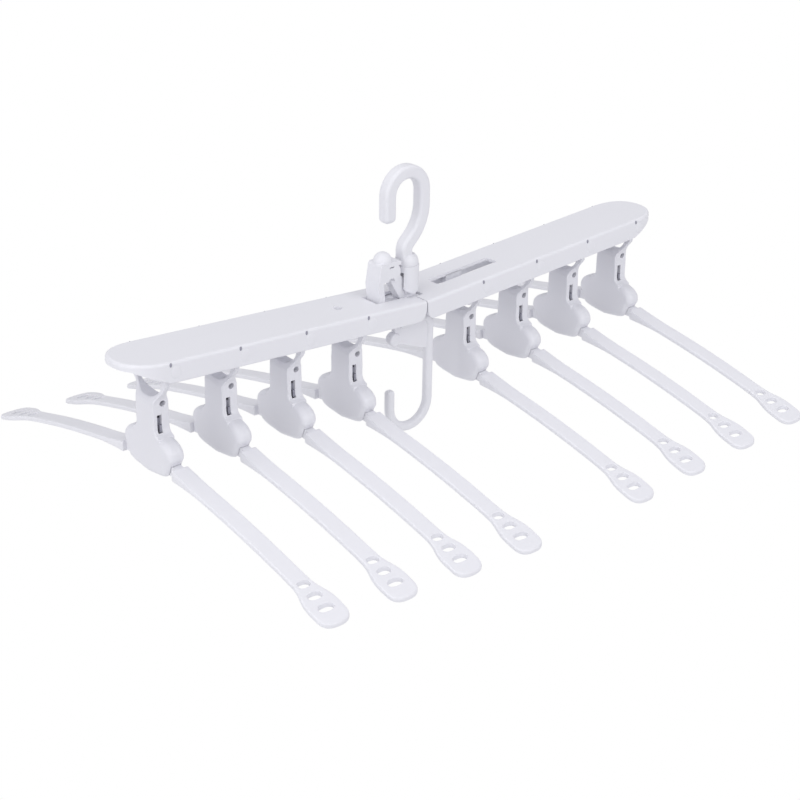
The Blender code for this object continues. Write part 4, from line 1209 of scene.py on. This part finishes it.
def hub_block(beam):
    """Block between the wings, with their hinge eyes, the column's tongue and the latch's lug."""
    top, low = -HUB_TOP_DROP, -HUB_BOTTOM_DROP
    hinge = (HINGE_OUT * math.cos(beam.rise) + HINGE_DROP * math.sin(beam.rise),
             HINGE_OUT * math.sin(beam.rise) - HINGE_DROP * math.cos(beam.rise))
    corner = (HUB_BOTTOM_DROP - HUB_TOP_DROP) * HUB_CORNER_SHARE
    right = [(HUB_HALF_LENGTH - corner, low), (HUB_HALF_LENGTH, low + corner)]
    right += arc(hinge, HUB_EYE_RADIUS, HUB_EYE_START_DEG, 90, HINGE_EYE_STEPS)
    right.append((HUB_SHOULDER, -HUB_FLAT_DROP))
    hub = prism("hub_moulding", "y", right + mirrored_x(right), -HUB_HALF_WIDTH, HUB_HALF_WIDTH)
    join(hub, block("pedestal", (-HUB_SHOULDER, HUB_SHOULDER), (-HUB_PEDESTAL_HALF, HUB_PEDESTAL_HALF),
                    (-HUB_FLAT_DROP - OVERRUN, top)))
    tongue = [(-TONGUE_RADIUS, top - OVERRUN), (TONGUE_RADIUS, top - OVERRUN)]
    tongue += arc((0, YOKE_PIVOT), TONGUE_RADIUS, 0, 180, EYE_STEPS)
    join(hub, prism("tongue", "y", tongue, -TONGUE_HALF, TONGUE_HALF))
    lug = [(-TONGUE_RADIUS + OVERRUN, top - OVERRUN), (-TONGUE_RADIUS + OVERRUN, YOKE_PIVOT - OVERRUN),
           (-YOKE_RADIUS - GAP * 2, YOKE_GAP_TOP - GAP * 2)]
    lug += arc((-LATCH_PIVOT_OUT, LATCH_PIVOT), LATCH_EYE_RADIUS, 0, LATCH_LUG_END_DEG, EYE_STEPS)
    lug += [(-HUB_HALF_LENGTH + OVERRUN, top - OVERRUN)]
    join(hub, prism("lug", "y", lug, -LATCH_LUG_HALF, LATCH_LUG_HALF))
    reach = HUB_HALF_WIDTH + OVERRUN
    bores = [((side * hinge[0], hinge[1]), HINGE_PIN_RADIUS, BORE_FACETS) for side in (-1, 1)]
    bores += [((0, YOKE_PIVOT), YOKE_PIN_RADIUS, BORE_FACETS),
              ((-LATCH_PIVOT_OUT, LATCH_PIVOT), LATCH_PIN_RADIUS, PIN_FACETS)]
    for centre, radius, facets in bores:
        cut(hub, rod("pin_bore", "y", centre, radius + RUNNING_GAP, -reach, reach, facets))
    cut(hub, rod("swivel_bore", "z", (0, 0), LOWER_STUD_RADIUS + RUNNING_GAP, low - OVERRUN,
                 low + LOWER_STUD_HEIGHT + RUNNING_GAP))
    return soften(hub, HUB_SOFT_EDGE, steps=2)


def column_piece():
    """Round column with a rounded foot, forked over the hub's tongue and bored for the rivet."""
    edge = GAP / 2
    bottom = YOKE_PIVOT - YOKE_RADIUS - OVERRUN
    column = turned("column_moulding", [(YOKE_RADIUS, bottom), (YOKE_RADIUS, YOKE_TOP - edge),
                                        (YOKE_RADIUS - edge, YOKE_TOP)])
    column.data.transform(Matrix.Rotation(math.pi / COLUMN_FACETS, 4, "Z"))
    wide = YOKE_RADIUS + OVERRUN
    drum = arc((0, YOKE_PIVOT), YOKE_RADIUS + SPLIT_GAP, 180, 360, COLUMN_FACETS // 2)
    drum += [(wide, YOKE_PIVOT), (wide, YOKE_TOP + OVERRUN),
             (-wide, YOKE_TOP + OVERRUN), (-wide, YOKE_PIVOT)]
    gap = TONGUE_HALF + FORK_GAP
    cut(column, block("fork_gap", (-wide, wide), (-gap, gap), (bottom - OVERRUN, YOKE_GAP_TOP)))
    combine(column, [prism("drum", "y", drum, -wide, wide)], "INTERSECT")
    pin_reach = YOKE_PIN_HALF + GAP
    roof = YOKE_GAP_TOP - OVERRUN
    head = RIVET_HEAD_HEIGHT + RUNNING_GAP * 2
    cut(column, rod("pin_bore", "y", (0, YOKE_PIVOT), YOKE_PIN_RADIUS + RUNNING_GAP, -pin_reach, pin_reach),
        rod("rivet_bore", "z", (0, 0), RIVET_RADIUS + RUNNING_GAP, roof, YOKE_TOP + OVERRUN),
        rod("rivet_seat", "z", (0, 0), RIVET_HEAD_RADIUS + RUNNING_GAP, roof, YOKE_GAP_TOP + head))
    return tidy(column)


def latch_piece():
    """Latch lever: a block with a roof, a toe, two cheeks round the lug and a thumb dome."""
    wide = LATCH_FORK_OUTER
    outline = [(-LATCH_OUT_NEAR, LATCH_LOW), (-LATCH_OUT_NEAR, LATCH_ROOF_LOW),
               (-LATCH_ROOF_END, LATCH_ROOF_LOW), (-LATCH_ROOF_END, LATCH_HIGH - OVERRUN),
               (-LATCH_ROOF_END - OVERRUN, LATCH_HIGH)]
    corner = (-LATCH_OUT_FAR + LATCH_LEAN + LATCH_CORNER, LATCH_HIGH - LATCH_CORNER)
    outline += arc(corner, LATCH_CORNER, 90, LATCH_CORNER_END_DEG, CORNER_STEPS)
    outline += [(-LATCH_OUT_FAR, LATCH_LOW - OVERRUN * 2), (-LATCH_FOOT_OUT, LATCH_FOOT_LOW),
                (-LATCH_FOOT_OUT + LATCH_FOOT_WIDTH, LATCH_FOOT_LOW),
                (-LATCH_OUT_FAR + LATCH_FOOT_WIDTH, LATCH_LOW)]
    lever = prism("latch_moulding", "y", outline, -wide, wide)
    pivot = (-LATCH_PIVOT_OUT, LATCH_PIVOT)
    low, high = LATCH_PIVOT - LATCH_EYE_RADIUS, LATCH_PIVOT + LATCH_EYE_RADIUS
    inner = -LATCH_OUT_NEAR - OVERRUN
    cheek = [(inner, low), (pivot[0], low)]
    cheek += arc(pivot, LATCH_PIVOT_OUT - LATCH_FORK_END, -LATCH_FORK_TURN_DEG, LATCH_FORK_TURN_DEG,
                 DOME_STEPS)
    cheek += [(pivot[0], high), (inner, high)]
    for across in (-1, 1):
        join(lever, prism("cheek", "y", cheek, *span(across, LATCH_LUG_HALF + GAP, wide)))
    dome = [(LATCH_DOME_RADIUS, LATCH_HIGH - OVERRUN)]
    for k in range(DOME_STEPS + 1):
        a = math.radians(LATCH_DOME_END_DEG * k / DOME_STEPS)
        dome.append((LATCH_DOME_RADIUS * math.cos(a), LATCH_HIGH + LATCH_DOME_RISE * math.sin(a)))
    join(lever, moved(turned("dome", dome, DOME_FACETS), -LATCH_DOME_OUT, 0, 0))
    pin_reach = LATCH_PIN_HALF + GAP / 2
    cut(lever, rod("pin_bore", "y", pivot, LATCH_PIN_RADIUS + RUNNING_GAP, -pin_reach, pin_reach,
                   PIN_FACETS))
    return soften(lever, LATCH_SOFT_EDGE)


class HANGER_OT_hub(bpy.types.Operator):
    """Builds the hub block, the folding column and the latch lever"""
    bl_idname = "hanger.hub"
    bl_label = "Hub, column and latch"

    def execute(self, context):
        white = finishes()["beam_white"]
        beam = in_mm(context.scene.hanger_beam)
        dress(at_beam(hub_block(beam)), white, "hub", ["hub_body"])
        dress(at_beam(column_piece()), white, "yoke", ["hook_yoke"])
        dress(at_beam(latch_piece()), white, "latch", ["latch_lever"])
        return {"FINISHED"}


# Hooks

def round_tip(x, z, size):
    """Points that close a bar's end in a dome, going down or up with the sign of size."""
    tip = []
    for k in range(TIP_STEPS + 1):
        a = math.radians(TIP_END_DEG) * k / TIP_STEPS
        tip.append((x, z + size * TIP_DOME_SHARE * math.sin(a),
                    max(math.cos(a), TIP_LEAST_SHARE) ** TIP_POWER))
    return tip


def upper_hook_path(hook):
    """Middle line of the upper hook: lean out, return upright, round the loop, down to the tip."""
    lean = math.radians(HOOK_LEAN_DEG)
    bends = HOOK_LEAN_RADIUS + HOOK_RETURN_RADIUS
    ramp = (hook.loop_radius - bends * (1 - math.cos(lean))) / math.sin(lean)
    rise = bends * math.sin(lean) + ramp * math.cos(lean)
    start = hook.loop_centre - rise - hook.wide
    path = [(0.0, COLLAR_TOP - COLLAR_CROWN, 1.0)]
    for k in range(LEAN_STEPS + 1):
        a = lean * k / LEAN_STEPS
        path.append((HOOK_LEAN_RADIUS * (1 - math.cos(a)), start + HOOK_LEAN_RADIUS * math.sin(a), 1.0))
    for k in range(RETURN_STEPS + 1):
        a = lean * (1 - k / RETURN_STEPS)
        path.append((hook.loop_radius - HOOK_RETURN_RADIUS * (1 - math.cos(a)),
                     start + rise - HOOK_RETURN_RADIUS * math.sin(a), 1.0))
    path += [(x, z, 1.0) for x, z in arc((0, hook.loop_centre), hook.loop_radius, 0, 180, LOOP_STEPS)]
    path += round_tip(-hook.loop_radius, hook.loop_centre - HOOK_TIP_DROP, -hook.thick)
    return [(x + HOOK_SHIFT, z, share) for x, z, share in path]


def lower_hook_path(hook, bar_middle):
    """Middle line of the lower hook: under the hub, down the stem, round the loop, up to the tip."""
    stem = LOWER_LOOP_OFFSET + hook.lower_loop
    bend = hook.lower_bar
    line = [(-hook.lower_bar, bar_middle)]
    line += arc((stem - bend, bar_middle - bend), bend, 90, 0, LEAN_STEPS)
    line += arc((LOWER_LOOP_OFFSET, -LOWER_LOOP_DROP), hook.lower_loop, 0, -180, LOOP_STEPS)
    tip = LOWER_LOOP_OFFSET - hook.lower_loop
    return [(x, z, 1.0) for x, z in line] + round_tip(tip, LOWER_TIP_RISE - LOWER_LOOP_DROP, bend)


def upper_hook_piece(hook, material):
    """The upper hook with its collar and the rivet under it."""
    piece = swept_bar("upper_hook_moulding", upper_hook_path(hook), hook.thick, hook.wide,
                      HOOK_CORNER, material)
    head_low = YOKE_GAP_TOP + RUNNING_GAP
    head_high = head_low + RIVET_HEAD_HEIGHT
    edge = GAP / 2
    rivet = turned("rivet", [(RIVET_HEAD_RADIUS, head_low), (RIVET_HEAD_RADIUS, head_high),
                             (RIVET_RADIUS, head_high + edge), (RIVET_RADIUS, COLLAR_TOP)], BORE_FACETS)
    base = YOKE_TOP + SPLIT_GAP
    profile = [(hook.collar - edge, base), (hook.collar, base + edge)]
    for k in range(DOME_STEPS + 1):
        a = math.radians(COLLAR_CROWN_END_DEG * k / DOME_STEPS)
        inward = COLLAR_CROWN * COLLAR_CROWN_SHARE * (1 - math.cos(a))
        profile.append((hook.collar - inward, COLLAR_TOP - COLLAR_CROWN * (1 - math.sin(a))))
    return tidy(join(piece, turned("collar", profile), rivet))


def lower_hook_piece(hook, material):
    """The lower hook with its gusset web, its beak, and the plate and stud it turns on."""
    bar = hook.lower_bar
    plate_top = -HUB_BOTTOM_DROP - GAP
    plate_low = plate_top - LOWER_PLATE_HEIGHT
    bar_middle = plate_low - bar / 2 + OVERRUN
    stem = LOWER_LOOP_OFFSET + hook.lower_loop
    piece = swept_bar("lower_hook_moulding", lower_hook_path(hook, bar_middle), bar, bar,
                      bar * LOWER_CORNER_SHARE, material)
    web = [(-LOWER_BEAK_OUT, plate_low), (stem, bar_middle), (stem, -LOWER_WEB_DROP),
           (-LOWER_BEAK_OUT + LOWER_BEAK_RADIUS, -LOWER_BEAK_DROP - LOWER_BEAK_RADIUS * LOWER_WEB_SHARE),
           (-LOWER_BEAK_OUT, -LOWER_BEAK_DROP)]
    outline = arc((-LOWER_BEAK_OUT, -LOWER_BEAK_DROP), LOWER_BEAK_RADIUS, 0, 360, LOWER_BEAK_STEPS)[:-1]
    beak = rounded_plate("beak", outline, bar / 2, bar / 2 * LOWER_BEAK_ROUND_SHARE)
    beak.data.transform(Matrix.Rotation(math.pi / 2, 4, "X"))
    join(piece, prism("web", "y", web, -LOWER_WEB_HALF, LOWER_WEB_HALF), beak,
         rod("plate", "z", (0, 0), LOWER_PLATE_RADIUS, plate_low, plate_top, DOME_FACETS),
         rod("stud", "z", (0, 0), LOWER_STUD_RADIUS, plate_top - OVERRUN,
             -HUB_BOTTOM_DROP + LOWER_STUD_HEIGHT - GAP))
    return tidy(piece)


class HANGER_OT_hooks(bpy.types.Operator):
    """Sweeps the upper hook with its collar, and the lower hook with its web and beak"""
    bl_idname = "hanger.hooks"
    bl_label = "Hooks"

    def execute(self, context):
        hook = in_mm(context.scene.hanger_hook)
        white = finishes()["beam_white"]
        upper = at_beam(upper_hook_piece(hook, white))
        dress(upper, white, "hook", ["upper_hook"], WIDE_DEG)
        lower = at_beam(lower_hook_piece(hook, white))
        dress(lower, white, "lower_hook", ["lower_hook"], WIDE_DEG)
        return {"FINISHED"}


class HANGER_OT_inner_pieces(bpy.types.Operator):
    """Gives the pins their steel finish and paints the lock sliders dark grey as painted shade in the
    windows over them
    """
    bl_idname = "hanger.inner_pieces"
    bl_label = "Pins and sliders"

    def execute(self, context):
        made = finishes()
        for name, node in frame["nodes"].items():
            if name.endswith("_pin"):
                repaint(node, made["pin_steel"])
            elif name.startswith("lock_slider_"):
                # Painted shade: the sliders take the dark grey so that the windows over them read as dark
                # slots.
                repaint(node, made["mark_and_painted_shade"])
        return {"FINISHED"}


def repaint(node, material):
    """Puts one material in every slot of a frame node."""
    if not node.data.materials:
        node.data.materials.append(material)
    for index in range(len(node.data.materials)):
        node.data.materials[index] = material


# Stage

def pale_backdrop(name):
    """Pale floor that shows white to the camera and in gloss, and keeps shadows off the object."""
    material = bpy.data.materials.new(name)
    material.use_nodes = True
    tree = material.node_tree
    shader = tree.nodes["Principled BSDF"]
    shader.inputs["Base Color"].default_value = FLOOR_COLOUR
    shader.inputs["Roughness"].default_value = FLOOR_ROUGHNESS
    glow = add_node(tree, "ShaderNodeEmission", Color=WHITE)
    rays = add_node(tree, "ShaderNodeLightPath")
    either = add_node(tree, "ShaderNodeMath", operation="MAXIMUM")
    mix = add_node(tree, "ShaderNodeMixShader")
    wire(tree, (rays, "Is Camera Ray", either, 0), (rays, "Is Glossy Ray", either, 1),
         (either, "Value", mix, "Fac"), (shader, "BSDF", mix, 1), (glow, "Emission", mix, 2),
         (mix, "Shader", tree.nodes["Material Output"], "Surface"))
    return material


def set_world():
    """A soft fill light that shows white to the camera."""
    world = bpy.data.worlds.new("studio")
    bpy.context.scene.world = world
    world.use_nodes = True
    tree = world.node_tree
    fill = tree.nodes["Background"]
    fill.inputs["Color"].default_value = WORLD_COLOUR
    fill.inputs["Strength"].default_value = WORLD_STRENGTH
    white = add_node(tree, "ShaderNodeBackground", Color=WHITE)
    rays = add_node(tree, "ShaderNodeLightPath")
    mix = add_node(tree, "ShaderNodeMixShader")
    wire(tree, (rays, "Is Camera Ray", mix, "Fac"), (fill, "Background", mix, 1),
         (white, "Background", mix, 2), (mix, "Shader", tree.nodes["World Output"], "Surface"))


def soft_lamp(name, place, size, power):
    """A round area lamp aimed at the object."""
    light = bpy.data.lights.new(name, "AREA")
    light.shape = "DISK"
    light.size = size
    light.energy = power
    obj = linked(name, light)
    obj.location = place
    obj.rotation_euler = (Vector(LAMP_TARGET) - Vector(place)).to_track_quat("-Z", "Y").to_euler()


def photo_camera():
    """The camera that saw the photograph, turned by its azimuth, elevation and roll."""
    camera = bpy.data.cameras.new("photo_view")
    camera.lens = CAMERA_LENS
    camera.sensor_width = CAMERA_SENSOR
    camera.clip_start = CAMERA_NEAR
    camera.clip_end = CAMERA_FAR
    az, el = math.radians(CAMERA_AZIMUTH_DEG), math.radians(CAMERA_ELEVATION_DEG)
    back = Vector((math.sin(az) * math.cos(el), -math.cos(az) * math.cos(el), math.sin(el)))
    right = (-back).cross(Vector((0, 0, 1))).normalized()
    up = right.cross(-back)
    roll = math.radians(CAMERA_ROLL_DEG)
    across = right * math.cos(roll) + up * math.sin(roll)
    upward = up * math.cos(roll) - right * math.sin(roll)
    obj = linked("photo_view", camera)
    turn = Matrix((across, upward, back)).transposed().to_4x4()
    obj.matrix_world = Matrix.Translation(Vector(CAMERA_PLACE)) @ turn
    return obj


class HANGER_OT_stage(bpy.types.Operator):
    """Sets the camera, the soft lamps, the world and the pale floor"""
    bl_idname = "hanger.stage"
    bl_label = "Stage"

    def execute(self, context):
        scene = context.scene
        scene.view_settings.view_transform = "Standard"
        set_world()
        for lamp in LAMPS:
            soft_lamp(*lamp)
        reach = FLOOR_SIZE / MM
        floor = block("floor", (-reach, reach), (-reach, reach),
                      (-(FLOOR_DROP + FLOOR_THICKNESS) / MM, -FLOOR_DROP / MM))
        floor.data.materials.append(pale_backdrop("pale_floor"))
        scene.camera = photo_camera()
        return {"FINISHED"}


OPERATORS = (HANGER_OT_wings, HANGER_OT_small_hangers, HANGER_OT_hub, HANGER_OT_hooks,
             HANGER_OT_inner_pieces, HANGER_OT_stage)


class HANGER_PT_panel(bpy.types.Panel):
    """Buttons and settings for the tiered hanger"""
    bl_label = "Tiered hanger"
    bl_idname = "HANGER_PT_panel"
    bl_space_type = "VIEW_3D"
    bl_region_type = "UI"
    bl_category = "Hanger"

    def draw(self, context):
        layout = self.layout
        for operator in OPERATORS:
            layout.operator(operator.bl_idname)
        for name, group in SETTINGS.items():
            box = layout.box()
            settings = getattr(context.scene, name)
            for key in group.__annotations__:
                box.prop(settings, key)


CLASSES = tuple(SETTINGS.values()) + OPERATORS + (HANGER_PT_panel,)


def register():
    for cls in CLASSES:
        bpy.utils.register_class(cls)
    for name, group in SETTINGS.items():
        setattr(bpy.types.Scene, name, PointerProperty(type=group))


def unregister():
    for name in SETTINGS:
        delattr(bpy.types.Scene, name)
    for cls in reversed(CLASSES):
        bpy.utils.unregister_class(cls)


def main():
    register()
    bpy.ops.hanger.wings()
    bpy.ops.hanger.small_hangers()
    bpy.ops.hanger.hub()
    bpy.ops.hanger.hooks()
    bpy.ops.hanger.inner_pieces()
    bpy.ops.hanger.stage()


if __name__ == "__main__":
    main()
